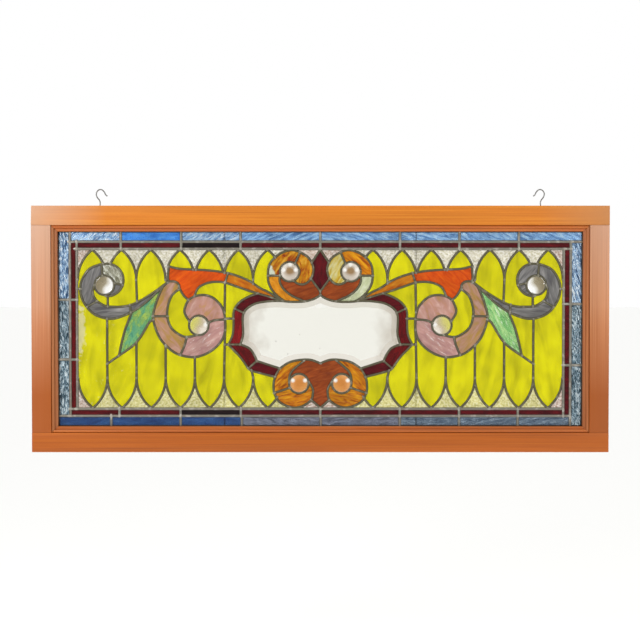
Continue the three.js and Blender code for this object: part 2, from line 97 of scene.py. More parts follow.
def pick(piece, what, test):
    """Selects the vertices, edges or polygons of a piece that pass a test, by place."""
    done()
    for item in getattr(piece.data, what):
        item.select = bool(test(item))
    bpy.ops.object.mode_set(mode="EDIT")


def settle(piece):
    """Puts a piece's place into its mesh."""
    only(piece)
    bpy.ops.object.transform_apply(location=True, rotation=True, scale=True)
    return piece


def close_up(piece):
    """Merges doubles and turns every face outwards."""
    edit_all(piece)
    bpy.ops.mesh.remove_doubles(threshold=DOUBLES)
    bpy.ops.mesh.normals_make_consistent(inside=False)
    done()
    return piece


def outwards(piece):
    """Turns every face outwards and keeps the points as they are."""
    edit_all(piece)
    bpy.ops.mesh.normals_make_consistent(inside=False)
    done()
    return piece


def smooth(piece, degrees=35):
    only(piece)
    bpy.ops.object.shade_smooth_by_angle(angle=math.radians(degrees))
    return piece


def put(name, data):
    """A new object for some data, in the scene."""
    thing = bpy.data.objects.new(name, data)
    bpy.context.scene.collection.objects.link(thing)
    return thing


def join(name, pieces):
    only(*pieces)
    if len(pieces) > 1:
        bpy.ops.object.join()
    whole = bpy.context.object
    whole.name = whole.data.name = name
    return whole


def hand_over(piece, slot, *nodes):
    """The piece rides on the window and stands for its CAD nodes, if it has any."""
    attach(piece, "root")
    if nodes:
        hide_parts(*nodes)
    return piece


def copy_of(node, name):
    """A loose copy of a CAD node, with its triangles joined into flat faces."""
    source = frame["nodes"][node]
    piece = source.copy()
    piece.data = source.data.copy()
    piece.name = piece.data.name = name
    piece.parent = None
    for key in list(piece.keys()):
        del piece[key]
    bpy.context.scene.collection.objects.link(piece)
    edit_all(piece)
    bpy.ops.mesh.customdata_custom_splitnormals_clear()
    bpy.ops.mesh.remove_doubles(threshold=DOUBLES)
    bpy.ops.mesh.dissolve_limited(angle_limit=SAME_PLANE)
    done()
    return piece


def dress(piece, *materials):
    piece.data.materials.clear()
    for material in materials:
        piece.data.materials.append(material)
    return piece


# ---- Materials ----


def colour(code):
    """A hex code as linear red, green and blue."""
    values = [int(code[i:i + 2], 16) / 255 for i in (1, 3, 5)]
    return [v / 12.92 if v <= 0.04045 else ((v + 0.055) / 1.055) ** 2.4 for v in values] + [1.0]


class Finish:
    """A node material being put together, one named step at a time."""

    def __init__(self, name, **sockets):
        self.material = bpy.data.materials.new(name)
        self.material.use_nodes = True
        self.tree = self.material.node_tree
        self.shader = self.tree.nodes["Principled BSDF"]
        for key, value in sockets.items():
            self.shader.inputs[key.replace("_", " ")].default_value = value

    def add(self, kind, inputs=None, **settings):
        node = self.tree.nodes.new(kind)
        for key, value in settings.items():
            setattr(node, key, value)
        for key, value in (inputs or {}).items():
            if isinstance(value, bpy.types.NodeSocket):
                self.tree.links.new(value, node.inputs[key])
            else:
                node.inputs[key].default_value = value
        return node

    def place(self):
        return self.add("ShaderNodeTexCoord").outputs["Object"]

    def own(self, name, output="Vector"):
        return self.add("ShaderNodeAttribute", attribute_name=name).outputs[output]

    def stretch(self, vector, scale):
        node = self.add("ShaderNodeMapping", {"Vector": vector, "Scale": scale})
        return node.outputs["Vector"]

    def noise(self, vector, scale=1.0, detail=2.0, roughness=0.5, warp=0.0):
        inputs = {"Vector": vector, "Scale": scale, "Detail": detail, "Roughness": roughness,
                  "Distortion": warp}
        return self.add("ShaderNodeTexNoise", inputs).outputs["Fac"]

    def ramp(self, value, stops):
        node = self.add("ShaderNodeValToRGB", {"Fac": value})
        band = node.color_ramp
        while len(band.elements) < len(stops):
            band.elements.new(0.5)
        for element, (position, code) in zip(band.elements, stops):
            element.position = position
            element.color = colour(code)
        return node.outputs["Color"]

    def spread(self, value, low, high, to_low=0.0, to_high=1.0):
        inputs = {"Value": value, "From Min": low, "From Max": high, "To Min": to_low,
                  "To Max": to_high}
        return self.add("ShaderNodeMapRange", inputs).outputs["Result"]

    def math(self, operation, first, second=0.0):
        return self.add("ShaderNodeMath", {0: first, 1: second}, operation=operation).outputs[0]

    def mix(self, share, first, second, blend="MIX"):
        node = self.add("ShaderNodeMix", data_type="RGBA", blend_type=blend)
        for index, value in ((0, share), (6, first), (7, second)):
            if isinstance(value, bpy.types.NodeSocket):
                self.tree.links.new(value, node.inputs[index])
            else:
                node.inputs[index].default_value = value
        return node.outputs[2]

    def give(self, socket, value):
        self.tree.links.new(value, self.shader.inputs[socket])

    def bump(self, height, depth, strength=1.0):
        node = self.add("ShaderNodeBump", {"Height": height, "Distance": depth,
                                           "Strength": strength})
        self.give("Normal", node.outputs["Normal"])


def glass(name, stops, grain, clear=0.35, rough=0.16, warp=0.6, cloud=(0.82, 1.06),
          wisp=None, ripple=(0.006, 0.0004), ripple_stretch=1.0, patch=None):
    """Art glass. Its streaks lie along each tile's own lay: grain is their length and width.

    wisp is a pale thread: code, length, width, and where it starts and fills. patch is a pale
    stain: code, its middle, and how far it reaches across and up, in millimetres.
    """
    look = Finish(name, Roughness=rough, IOR=1.5, Transmission_Weight=clear,
                  Specular_IOR_Level=0.2, Coat_Weight=0.06, Coat_Roughness=0.06)
    lay = look.own("lay")
    streak = look.noise(look.stretch(lay, (1 / grain[0], 1 / grain[1], 1)), detail=3, warp=warp)
    body = look.ramp(streak, stops)
    if wisp:
        code, length, width, low, high = wisp
        thread = look.noise(look.stretch(lay, (1 / length, 1 / width, 1)), detail=2, warp=1.1)
        body = look.mix(look.spread(thread, low, high), body, colour(code))
    if patch:
        code, x, z, wide, tall = patch
        place = look.place()
        spot = look.add("ShaderNodeVectorMath", {0: place, 1: (
            PANEL.x + x * MM, PANEL.y, PANEL.z + z * MM)}, operation="SUBTRACT").outputs["Vector"]
        spot = look.stretch(spot, (1 / (wide * MM), 0, 1 / (tall * MM)))
        out = look.add("ShaderNodeVectorMath", {0: spot}, operation="LENGTH").outputs["Value"]
        ragged = look.spread(look.noise(place, 110, detail=2), 0.3, 0.7, -0.5, 0.5)
        body = look.mix(look.spread(look.math("ADD", out, ragged), 0.75, 1.1), colour(code), body)
    drift = look.noise(look.stretch(lay, (22, 30, 1)), detail=1)
    shade = look.math("MULTIPLY", look.spread(drift, 0.3, 0.7, *cloud), look.own("tone", "Fac"))
    shaded = look.add("ShaderNodeCombineColor", {"Red": shade, "Green": shade, "Blue": shade})
    body = look.mix(1.0, body, shaded.outputs["Color"], "MULTIPLY")
    look.give("Base Color", body)
    size, depth = ripple
    wave = look.noise(look.stretch(lay, (1 / (size * ripple_stretch), 1 / size, 1)), detail=1.5,
                      warp=0.5)
    look.bump(wave, depth)
    return look.material


GLASSES = {
    # The white streaks in the two rippled border glasses are painted highlights, where the
    # ripples would catch the light.
    "ripple_white_blue": glass(
        "blue glass, white ripples",
        [(0.36, "#2f4d70"), (0.45, "#6688ae"), (0.53, "#a6c8e6"), (0.63, "#eaf4fa")],
        (0.017, 0.0042), clear=0.75, warp=1.6, ripple=(0.005, 0.0011), ripple_stretch=2.6),
    "ripple_steel": glass(
        "blue glass, steel ripples",
        [(0.39, "#2c4450"), (0.46, "#5f7886"), (0.54, "#93abb8"), (0.62, "#dce9ee")],
        (0.014, 0.0038), clear=0.7, warp=1.5, ripple=(0.004, 0.0011), ripple_stretch=2.2),
    "pale_blue_streaky": glass(
        "blue glass, pale streaks",
        [(0.36, "#5f86b4"), (0.48, "#8fb6e0"), (0.60, "#bcdaf2")],
        (0.018, 0.005), clear=0.7, warp=0.7, wisp=("#eef4fa", 0.016, 0.0035, 0.58, 0.70),
        ripple=(0.005, 0.0010), ripple_stretch=3),
    "sky_blue": glass(
        "blue glass, clear sky",
        [(0.34, "#3a80d8"), (0.50, "#4c98ee"), (0.70, "#6ab0f6")],
        (0.02, 0.008), clear=0.66, warp=0.4, ripple=(0.008, 0.0004)),
    "wave_blue": glass(
        "blue glass, waves",
        [(0.34, "#527cae"), (0.45, "#78a2d0"), (0.56, "#94bee6"), (0.70, "#bcdcf2")],
        (0.022, 0.005), clear=0.7, warp=0.9, ripple=(0.005, 0.0009), ripple_stretch=3),
    "cobalt": glass(
        "cobalt glass",
        [(0.30, "#26427a"), (0.52, "#30548c"), (0.74, "#40689e")],
        (0.03, 0.008), clear=0.66, warp=0.5, ripple=(0.01, 0.0004)),
    "dusk_blue": glass(
        "blue glass, dusk",
        [(0.34, "#46586c"), (0.46, "#5e7084"), (0.58, "#768898"), (0.72, "#9aaaba")],
        (0.02, 0.0045), clear=0.7, warp=1.0, ripple=(0.005, 0.0010), ripple_stretch=3),
    "grey_blue": glass(
        "blue glass, grey lavender waves",
        [(0.34, "#545866"), (0.46, "#686c7c"), (0.60, "#808698"), (0.74, "#9ca0b0")],
        (0.02, 0.0045), clear=0.7, warp=1.0, ripple=(0.005, 0.0010), ripple_stretch=3),
    "maroon": glass(
        "maroon glass",
        [(0.30, "#460810"), (0.55, "#620c15"), (0.78, "#74101a")],
        (0.03, 0.006), clear=0.4, rough=0.1, ripple=(0.012, 0.0003)),
    "maroon_warm": glass(
        "maroon glass, warm",
        [(0.30, "#4e0a0d"), (0.55, "#680d10"), (0.78, "#7a1215")],
        (0.03, 0.006), clear=0.4, rough=0.1, ripple=(0.012, 0.0003)),
    "black_red": glass(
        "maroon glass, nearly black",
        [(0.30, "#140a0c"), (0.55, "#1e1012"), (0.78, "#2c1618")],
        (0.03, 0.006), clear=0.3, rough=0.1, ripple=(0.012, 0.0003)),
    "ruby": glass(
        "ruby glass",
        [(0.30, "#7e1014"), (0.55, "#92161a"), (0.78, "#a82022")],
        (0.03, 0.006), clear=0.5, rough=0.1, ripple=(0.012, 0.0003)),
    "yellow": glass(
        "yellow opal glass",
        [(0.22, "#c2ba00"), (0.40, "#d8d200"), (0.54, "#e8e200"), (0.76, "#efe902")],
        (0.09, 0.022), clear=0.62, warp=0.5, cloud=(0.84, 1.05), ripple=(0.02, 0.0005)),
    "yellow_wispy": glass(
        "yellow opal glass, white wisps",
        [(0.22, "#c4bc00"), (0.40, "#d8d200"), (0.58, "#e8e200"), (0.78, "#f0ea10")],
        (0.08, 0.020), clear=0.62, warp=0.6, wisp=("#eeeaa4", 0.013, 0.008, 0.66, 0.84),
        ripple=(0.014, 0.0006),
        patch=("#e6dfa0", -509, -4, 9, 60)),
    "granite": glass(
        "granite glass, cream",
        [(0.36, "#c4bea4"), (0.46, "#e2dcc4"), (0.55, "#f4efde"), (0.66, "#fffdf2")],
        (0.0046, 0.004), clear=0.6, rough=0.25, warp=0.3, ripple=(0.0034, 0.0012)),
    "granite_yellow": glass(
        "granite glass, yellowed",
        [(0.36, "#c6bf7a"), (0.46, "#e0d990"), (0.55, "#f0eaaa"), (0.66, "#faf6d0")],
        (0.0046, 0.004), clear=0.6, rough=0.25, warp=0.3, ripple=(0.0034, 0.0012)),
    "granite_pink": glass(
        "granite glass, pinkish",
        [(0.36, "#bb9f8c"), (0.46, "#d8c2b0"), (0.55, "#ead9cc"), (0.66, "#fbf3ea")],
        (0.0046, 0.004), clear=0.6, rough=0.25, warp=0.3, ripple=(0.0034, 0.0012)),
    "grey": glass(
        "grey opal glass",
        [(0.34, "#646264"), (0.46, "#7a7876"), (0.58, "#8c8a88"), (0.72, "#aeaaa6")],
        (0.05, 0.007), clear=0.4, warp=0.8, ripple=(0.012, 0.0004)),
    "grey_clear": glass(
        "grey glass, clear greenish",
        [(0.34, "#7c7a64"), (0.45, "#a4a28c"), (0.56, "#c4c4b2"), (0.68, "#f6f8ee")],
        (0.016, 0.006), clear=0.75, warp=1.2, ripple=(0.008, 0.0010)),
    "leaf_mottled": glass(
        "green glass, mottled",
        [(0.30, "#4a9a80"), (0.42, "#6cb084"), (0.54, "#84b86c"), (0.68, "#b0c85c")],
        (0.024, 0.010), clear=0.62, warp=1.0, ripple=(0.008, 0.0007)),
    "leaf_light": glass(
        "green glass, light streaks",
        [(0.28, "#6cb868"), (0.46, "#92cc80"), (0.60, "#b2dc90"), (0.78, "#d4eeb8")],
        (0.03, 0.006), clear=0.66, warp=0.9, wisp=("#e4f6d8", 0.022, 0.0035, 0.60, 0.70),
        ripple=(0.006, 0.0009), ripple_stretch=3),
    "pink": glass(
        "pink opal glass",
        [(0.34, "#c89a68"), (0.46, "#c89684"), (0.58, "#d0a294"), (0.74, "#e2bcae")],
        (0.03, 0.012), clear=0.55, warp=0.9, ripple=(0.008, 0.0008), ripple_stretch=2),
    "pink_ochre": glass(
        "pink opal glass, ochre",
        [(0.34, "#c0984a"), (0.45, "#c49a64"), (0.56, "#c89a80"), (0.70, "#d8ae9c")],
        (0.035, 0.010), clear=0.55, warp=0.9, ripple=(0.008, 0.0008), ripple_stretch=2),
    "pink_white": glass(
        "pink opal glass, white streaks",
        [(0.26, "#b98a88"), (0.46, "#c99a92"), (0.62, "#d6aca2"), (0.78, "#ecd8d0")],
        (0.028, 0.009), clear=0.55, warp=0.9, wisp=("#f6ece6", 0.022, 0.005, 0.60, 0.72),
        ripple=(0.006, 0.0009), ripple_stretch=2),
    "orange": glass(
        "orange glass, red waves",
        [(0.28, "#c84606"), (0.44, "#e25608"), (0.60, "#f0640a"), (0.78, "#f87c16")],
        (0.03, 0.007), clear=0.5, warp=1.1, ripple=(0.009, 0.0006), ripple_stretch=2),
    "orange_band": glass(
        "orange glass, golden",
        [(0.30, "#b8560a"), (0.48, "#d0780e"), (0.62, "#dc8e1c"), (0.78, "#e8a838")],
        (0.024, 0.006), clear=0.5, warp=1.0, ripple=(0.008, 0.0006), ripple_stretch=2),
    "amber_flame": glass(
        "amber glass, flame streaks",
        [(0.34, "#a04a06"), (0.44, "#c8740a"), (0.56, "#dc900e"), (0.70, "#f0ac18")],
        (0.03, 0.005), clear=0.5, warp=1.2, ripple=(0.007, 0.0009), ripple_stretch=3),
    "amber_gold": glass(
        "amber glass, golden",
        [(0.26, "#c47a10"), (0.46, "#e09218"), (0.64, "#eca42a"), (0.80, "#f6c25c")],
        (0.026, 0.008), clear=0.55, warp=0.9, ripple=(0.008, 0.0006)),
    "amber_red": glass(
        "amber glass, reddish streaks",
        [(0.36, "#a04010"), (0.45, "#c4780c"), (0.55, "#d49414"), (0.68, "#e8b040")],
        (0.03, 0.010), clear=0.55, warp=1.2, ripple=(0.008, 0.0006),
        patch=("#dfe6d2", -106, 117, 9, 15)),
    "straw": glass(
        "straw glass, ochre streaks",
        [(0.34, "#c8a028"), (0.44, "#d2ba4c"), (0.56, "#dcd08a"), (0.72, "#e8eac4")],
        (0.035, 0.009), clear=0.62, warp=0.9, ripple=(0.008, 0.0006)),
    "pale_green": glass(
        "pale green opal glass",
        [(0.30, "#c4cc9c"), (0.50, "#d6dcb2"), (0.72, "#e6ead0")],
        (0.03, 0.008), clear=0.62, warp=0.8, ripple=(0.008, 0.0005)),
    "brown": glass(
        "red-brown streaky glass",
        [(0.28, "#823814"), (0.46, "#984418"), (0.62, "#a8501e"), (0.80, "#b86a30")],
        (0.032, 0.007), clear=0.4, warp=1.0, ripple=(0.009, 0.0007), ripple_stretch=2),
}


def clear_glass(name, painted_shade_ramp, rough=0.0):
    """Plate glass, see-through by plain values; it darkens towards the sides, painted shade."""
    look = Finish(name, Roughness=rough, IOR=1.5, Transmission_Weight=1.0,
                  Specular_IOR_Level=0.2)
    place = look.place()
    side = look.math("ABSOLUTE", look.add("ShaderNodeSeparateXYZ", {"Vector": place}).outputs[0])
    haze = look.spread(look.noise(place, 26, detail=2), 0.3, 0.7, -0.02, 0.02)
    # Painted shade: from near white in the middle to beige grey towards the sides.
    look.give("Base Color", look.ramp(
        look.spread(look.math("ADD", side, haze), 0.115, 0.175), painted_shade_ramp))
    look.bump(look.noise(place, 60, detail=1), 0.0002, 0.4)
    return look.material


CROWN = (0.0019, 0.0029)  # depth of the came, from its foot to its crown, over which the painted shade at its foot lifts


def worn_and_shaded(name, face, valley, bright, rough, metal=0.45):
    """A dull skin: worn bright in patches, and darker low down at its foot by the glass: painted
    shade, with old cement there as well.
    """
    look = Finish(name, Metallic=metal, Roughness=rough)
    place = look.place()
    depth = look.add("ShaderNodeSeparateXYZ", {"Vector": place}).outputs["Y"]
    crown = look.spread(look.math("ABSOLUTE", depth), *CROWN)
    patch = look.noise(place, 90, detail=3)
    body = look.ramp(patch, [(0.32, face), (0.55, face), (0.72, bright)])
    # Painted shade: towards its foot by the glass the skin turns to the valley colour, as if
    # shaded where came meets glass.
    body = look.mix(crown, colour(valley), body)
    look.give("Base Color", body)
    look.bump(look.noise(place, 420, detail=3), 0.0003, 0.5)
    return look.material


def fir(name, along, shades, painted_light=None, lines=0.0016):
    """Vertical-grain fir under clear varnish. along is 0 for a rail and 2 for a stile."""
    look = Finish(name, Roughness=0.45, Specular_IOR_Level=0.4, Coat_Weight=0.04,
                  Coat_Roughness=0.25)
    place = look.place()
    axes = [1 / lines, 1 / 0.02, 1 / lines]
    axes[along] = 1 / 0.35
    grain = look.noise(look.stretch(place, axes), detail=3, roughness=0.6, warp=0.15)
    body = look.ramp(grain, list(zip((0.28, 0.46, 0.60, 0.76), shades)))
    broad = [1 / 0.02, 1 / 0.03, 1 / 0.02]
    broad[along] = 1 / 0.6
    band = look.noise(look.stretch(place, broad), detail=2)
    light = look.spread(band, 0.3, 0.7, 0.88, 1.08)
    tint = look.add("ShaderNodeCombineColor", {"Red": light, "Green": light, "Blue": light})
    body = look.mix(1.0, body, tint.outputs["Color"], "MULTIPLY")
    # Painted light and shade: each entry blends a colour in along one axis of the piece.
    for code, axis, low, high, most in painted_light or ():
        run = look.add("ShaderNodeSeparateXYZ", {"Vector": place}).outputs[axis]
        body = look.mix(look.spread(run, low, high, 0.0, most), body, colour(code))
    look.give("Base Color", body)
    look.bump(grain, 0.0002, 0.4)
    return look.material


def steel(name, face, worn, rough):
    look = Finish(name, Metallic=0.9, Roughness=rough)
    place = look.place()
    body = look.ramp(look.noise(place, 160, detail=3), [(0.35, worn), (0.6, face)])
    look.give("Base Color", body)
    look.bump(look.noise(place, 900, detail=2), 0.0001, 0.4)
    return look.material


# The field came and its solder are the same lead as the border's, painted darker and yellower:
# painted shade, and light thrown from the yellow glass.
BORDER_LEAD = worn_and_shaded("lead, border came", "#7c786d", "#2e2a20", "#a8a49a", 0.42)
SHADED_FIELD_LEAD = worn_and_shaded("lead, field came", "#58543f", "#221f12", "#7c7867", 0.42)
BORDER_SOLDER = worn_and_shaded("tinned solder, border", "#99958a", "#4a463a", "#bbb7ad", 0.35)
SHADED_FIELD_SOLDER = worn_and_shaded("tinned solder, field", "#777363", "#35301f", "#9c988a", 0.38)

# ---- The glazier's drawing: centre lines of the came, left half, from the panel's middle ----

EDGE_CAME = 8
BORDER_CAME = 5
FIELD_CAME = 4
RING_CAME = 3
CEMENT_AND_SHADE = 0.5  # a dark fillet along each side of a came: old cement, coloured with painted shade
STEP = 4.0  # spacing of the points along a curved came
EDGE = (563, 213.5)
BLUE = (531, 185)
RED = (516.5, 170)
PITCH = 62
FIRST_TIP = 111.5
TIP_LEVEL = 168
VALLEY_LEVEL = 104
JEWEL_RADIUS = 19.6
RING_RADIUS = JEWEL_RADIUS + RING_CAME / 2
RING_SIDES = 40


def curve(*points):
    """An even curve through the points, as a list of close points."""
    path = []
    for i in range(len(points) - 1):
        before = points[max(i - 1, 0)]
        start, end = points[i], points[i + 1]
        after = points[min(i + 2, len(points) - 1)]
        parts = max(1, round(math.dist(start, end) / STEP))
        for k in range(parts):
            t = k / parts
            path.append(tuple(
                0.5 * (2 * b + (c - a) * t + (2 * a - 5 * b + 4 * c - d) * t * t
                       + (3 * b - a - 3 * c + d) * t ** 3)
                for a, b, c, d in zip(before, start, end, after)))
    return path + [points[-1]]


def arc(centre, radius, start, end):
    parts = max(2, round(abs(end - start) * radius / STEP))
    turns = [start + (end - start) * k / parts for k in range(parts + 1)]
    return [(centre[0] + radius * math.cos(t), centre[1] + radius * math.sin(t)) for t in turns]


def circle(centre, radius):
    """A jewel's outline, or its ring's, as close points."""
    turns = [2 * math.pi * k / RING_SIDES for k in range(RING_SIDES)]
    return [(centre[0] + radius * math.cos(t), centre[1] + radius * math.sin(t)) for t in turns]


def tip(k):
    return -(FIRST_TIP + PITCH * k)


def valley(k):
    return tip(k) - PITCH / 2


ARCH_HEIGHT = TIP_LEVEL - VALLEY_LEVEL
ARCH_RADIUS = (ARCH_HEIGHT ** 2 + (PITCH / 2) ** 2) / PITCH


def arch_side(tip_x, side, end):
    """One side of a picket's pointed end, from its tip to the level where it stops."""
    top = math.asin(ARCH_HEIGHT / ARCH_RADIUS)
    bottom = math.asin((end - VALLEY_LEVEL) / ARCH_RADIUS)
    centre = (PITCH / 2 - ARCH_RADIUS, VALLEY_LEVEL)
    return [(tip_x + side * reach, z) for reach, z in arc(centre, ARCH_RADIUS, top, bottom)]


def flip(path):
    return [(x, -z) for x, z in path]


def mirror(path):
    return [(-x, z) for x, z in path]


UPPER_ENDS = [(104, 152), (119, 104), (125.5, 120), (131.5, 125.5), (104, 104), (138.5, 104),
              (104, 138.5)]
pickets = []
for k, (outer, inner) in enumerate(UPPER_ENDS):
    pickets += [arch_side(tip(k), -1, outer), arch_side(tip(k), 1, inner)]
    pickets += [flip(arch_side(tip(k), -1, VALLEY_LEVEL)),
                flip(arch_side(tip(k), 1, 145 if k == 0 else VALLEY_LEVEL))]
pickets += [
    [(valley(3), VALLEY_LEVEL), (-323, 98)],
    [(valley(4), VALLEY_LEVEL), (-389, 60)],
    [(valley(0), VALLEY_LEVEL), (valley(0), 96)],
    [(valley(5), 21), (valley(5), -VALLEY_LEVEL)],
    [(valley(4), -28), (valley(4), -VALLEY_LEVEL)],
    [(valley(3), -35), (valley(3), -VALLEY_LEVEL)],
    [(valley(2), -60), (valley(2), -VALLEY_LEVEL)],
    [(-203, -33), (valley(1), -VALLEY_LEVEL)],
    [(-146, -88), (valley(0), -VALLEY_LEVEL)],
]

grey_scroll = [
    curve((-464, 138), (-490, 127), (-506, 103), (-509, 80), (-501, 55), (-479, 31),
          (-443, 21.5), (-404, 34), (-373, 54), (-348, 77), (-322, 101)),
    curve((-479, 93), (-483, 79), (-478, 64), (-466, 54), (-448, 47.5), (-405, 50),
          (-361, 72.5), (-322, 101)),
    arc((-452, 104), 34.5, 1.93, -1.65),
    [(-516, 85), (-509, 85)],
    [(-464, 137), (-462, 113)],
    [(-474, 59), (-495, 47)],
    [(-404, 51), (-402, 35)],
    [(-437, 97), (-419, 93)],
    [(-451, 70), (-451, 48)],
]

leaf = [
    curve((-400, 36), (-409, 13), (-415, -3), (-422, -30), (-428, -57)),
    curve((-354, 20), (-363, 14), (-372, -1), (-386, -23), (-402, -39), (-428, -57)),
    [(-428, -57), (valley(5), -74)],
]

pink_scroll = [
    curve((-322, 101), (-333, 91), (-343, 70), (-350, 50), (-355, 27), (-350, 2), (-337, -25),
          (-313, -48), (-292, -57), (-267, -60), (-243, -53), (-223, -40), (-208, -22),
          (-202, -2), (-202, 19), (-206, 41), (-215, 55), (-229, 67), (-246, 72), (-264, 70),
          (-279, 62), (-287, 46), (-288, 34), (-278, 16)),
    curve((-300, 84), (-314, 72), (-322, 54), (-325, 31), (-320, 9), (-308, -6), (-286, -17),
          (-262, -13)),
    curve((-322, 101), (-310, 101), (-302, 97), (-299, 92), (-300, 84)),
    [(-202, -2), (-203, -33)],
    [(-355, 27), (-324, 27)],
    curve((-284, -18), (-288, -34), (-297, -55)),
    curve((-239, 12), (-226, 18), (-202, 20.5)),
]

trumpet = [
    curve((-321, 133), (-298, 127.5), (-255, 125.5), (-213, 121.5), (-180, 114), (-150, 101.5),
          (-128, 87), (-107, 76.5), (-80, 59)),
    curve((-321, 133), (-323, 112), (-322, 101)),
    curve((-300, 90), (-296, 81), (-289, 70), (-280, 62)),
    curve((-267, 70), (-259, 87), (-244, 96), (-225, 100), (-203, 98.5), (-177, 90), (-151, 81),
          (-111, 69), (-80, 59)),
    [(-196, 118), (-202, 98.5)],
    [(-202, 98.5), (-203, 35)],
    [(-202, 22), (-184, 22)],
]

cartouche = [
    curve((0, 72), (-13, 64), (-33, 58.5), (-60, 57.5), (-89, 59.5), (-117, 58), (-139, 53.5),
          (-156, 43), (-163, 33), (-165, 19), (-164, -11), (-170, -33)),
    curve((-170, -33), (-151, -41), (-140, -56), (-135, -68)),
    [(-135, -68), (-86, -84)],
    curve((-86, -84), (-67, -71.5), (-45, -66), (-21, -65.5), (0, -73)),
    curve((-133, 75.5), (-151, 69), (-167, 60), (-178, 49), (-184, 35), (-184, 12), (-186, -12),
          (-195, -33)),
    curve((-195, -33), (-183, -46), (-173, -56), (-163, -69), (-153, -84)),
    [(-203, -33), (-195, -33)],
    [(-153, -84), (-146, -89), (-96, -102)],
    [(-181, 43), (-162, 34)],
    [(-195, -33), (-170, -33)],
    [(-153, -84), (-135, -68)],
]

bottom_scroll = [
    curve((-86, -84), (-94, -97), (-99, -114), (-98, -135), (-87, -155), (-62, -166.5),
          (-40, -165), (-20, -152), (-16, -139), (-16, -127), (-24, -113)),
    curve((-34, -67), (-49, -79), (-61, -91), (-66, -104), (-66, -114)),
    [(-19, -151), (0, -168)],
    curve((-65, -125), (-82, -131), (-98, -136)),
]

top_scroll = [
    curve((-43, 163), (-60, 167.5), (-80, 162.5), (-97, 151), (-108, 136), (-111, 118),
          (-110, 100), (-103, 84), (-90, 69), (-75, 59)),
    curve((-43, 163), (-26, 152), (-17, 138), (-14.5, 124), (-20, 106), (-33, 95.5),
          (-46, 95.5), (-58, 103)),
    curve((-85, 114), (-86, 100), (-77, 84), (-61, 71), (-45, 63.5), (-33, 58.5)),
    curve((-43, 163), (-49, 149), (-54, 138)),
    [(-111, 113), (-85, 113)],
    [(0, 80), (0, 72)],
    [(0, 168), (-18, 141)],
    [(-20, 107), (0, 80)],
]

JEWELS = {
    "grey_scroll": (-458, 93),
    "pink_scroll": (-258, 7.6),
    "top_scroll": (-65, 121.5),
    "bottom_scroll": (-45.5, -116),
}

# Short cames across the borders.
TOP_CROSSES = [-423, -295, -169, 0, 169, 295, 421]
LOWER_RED_CROSSES = [-427, -297, -169, 0, 169, 295, 420]
LOWER_BLUE_CROSSES = [-444.5, -297, -167, 1, 169, 295, 419.5]
LEFT_CROSSES = [62, -65]
RIGHT_CROSSES = [53, -77]


def rectangle(size, lead_width):
    w, h = size
    far, high = w + lead_width / 2, h + lead_width / 2
    sides = [[(-far, h), (far, h)], [(w, high), (w, -high)]]
    return sides + [[(-x, -z) for x, z in side] for side in sides]


def pinwheel(inner, outer):
    """At each corner one border runs through and the next one butts against it."""
    w, h = inner
    return [[(-w, h), (-w, outer[1])], [(w, h), (outer[0], h)], [(w, -h), (w, -outer[1])],
            [(-w, -h), (-outer[0], -h)]]


border_lines = rectangle(BLUE, BORDER_CAME) + rectangle(RED, BORDER_CAME)
border_lines += pinwheel(BLUE, EDGE) + pinwheel(RED, BLUE)
border_lines += [[(x, RED[1]), (x, EDGE[1])] for x in TOP_CROSSES]
border_lines += [[(x, -RED[1]), (x, -BLUE[1])] for x in LOWER_RED_CROSSES]
border_lines += [[(x, -BLUE[1]), (x, -EDGE[1])] for x in LOWER_BLUE_CROSSES]
border_lines += [[(-EDGE[0], z), (-RED[0], z)] for z in LEFT_CROSSES]
border_lines += [[(RED[0], z), (EDGE[0], z)] for z in RIGHT_CROSSES]
edge_lines = rectangle(EDGE, EDGE_CAME)
half_lines = (pickets + grey_scroll + leaf + pink_scroll + trumpet + cartouche + bottom_scroll
              + top_scroll)
field_lines = half_lines + [mirror(path) for path in half_lines]
jewel_places = {f"jewel_{name}_{side}": (sign * x, z) for name, (x, z) in JEWELS.items()
                for side, sign in (("left", 1), ("right", -1))}

# ---- Lead came ----


def profile(name, points):
    """A came's section, as a closed curve: across, and out from the panel's middle."""
    section = bpy.data.curves.new(name, "CURVE")
    section.dimensions = "2D"
    spline = section.splines.new("POLY")
    spline.points.add(len(points) - 1)
    for point, (across, out) in zip(spline.points, points):
        point.co = (across * MM, out * MM, 0, 1)
    spline.use_cyclic_u = True
    return put(name, section)


def came_section(width):
    """A round-faced came: a low crown on both sides, and a thin dark fillet at its foot, of old
    cement and painted shade.
    """
    half = width / 2
    crown = [(half + CEMENT_AND_SHADE, GLASS_FACE + 0.05), (half + 0.1, GLASS_FACE + 0.3),
             (half, GLASS_FACE + 0.7), (0.86 * half, LEAD_FACE - 0.5),
             (0.5 * half, LEAD_FACE - 0.12), (0.0, LEAD_FACE)]
    front = crown + [(-across, out) for across, out in reversed(crown[:-1])]
    return front + [(-across, -out) for across, out in front]


def came(name, lines, width, closed=False):
    """Lays came of one width along every line, flat on the bench, then stands it upright."""
    section = profile(f"{name}_section", came_section(width))
    drawing = bpy.data.curves.new(name, "CURVE")
    drawing.dimensions = "2D"
    drawing.fill_mode = "NONE"
    drawing.bevel_mode = "OBJECT"
    drawing.bevel_object = section
    drawing.use_fill_caps = True
    for path in lines:
        spline = drawing.splines.new("POLY")
        spline.points.add(len(path) - 1)
        for point, (x, z) in zip(spline.points, path):
            point.co = (x * MM, z * MM, 0, 1)
        spline.use_cyclic_u = closed
    piece = put(name, drawing)
    only(piece)
    bpy.ops.object.convert(target="MESH")
    bpy.data.objects.remove(section)
    piece.rotation_euler = (math.radians(90), 0, 0)
    piece.location = PANEL
    return close_up(settle(piece))


rings = [circle(place, RING_RADIUS) for place in jewel_places.values()]

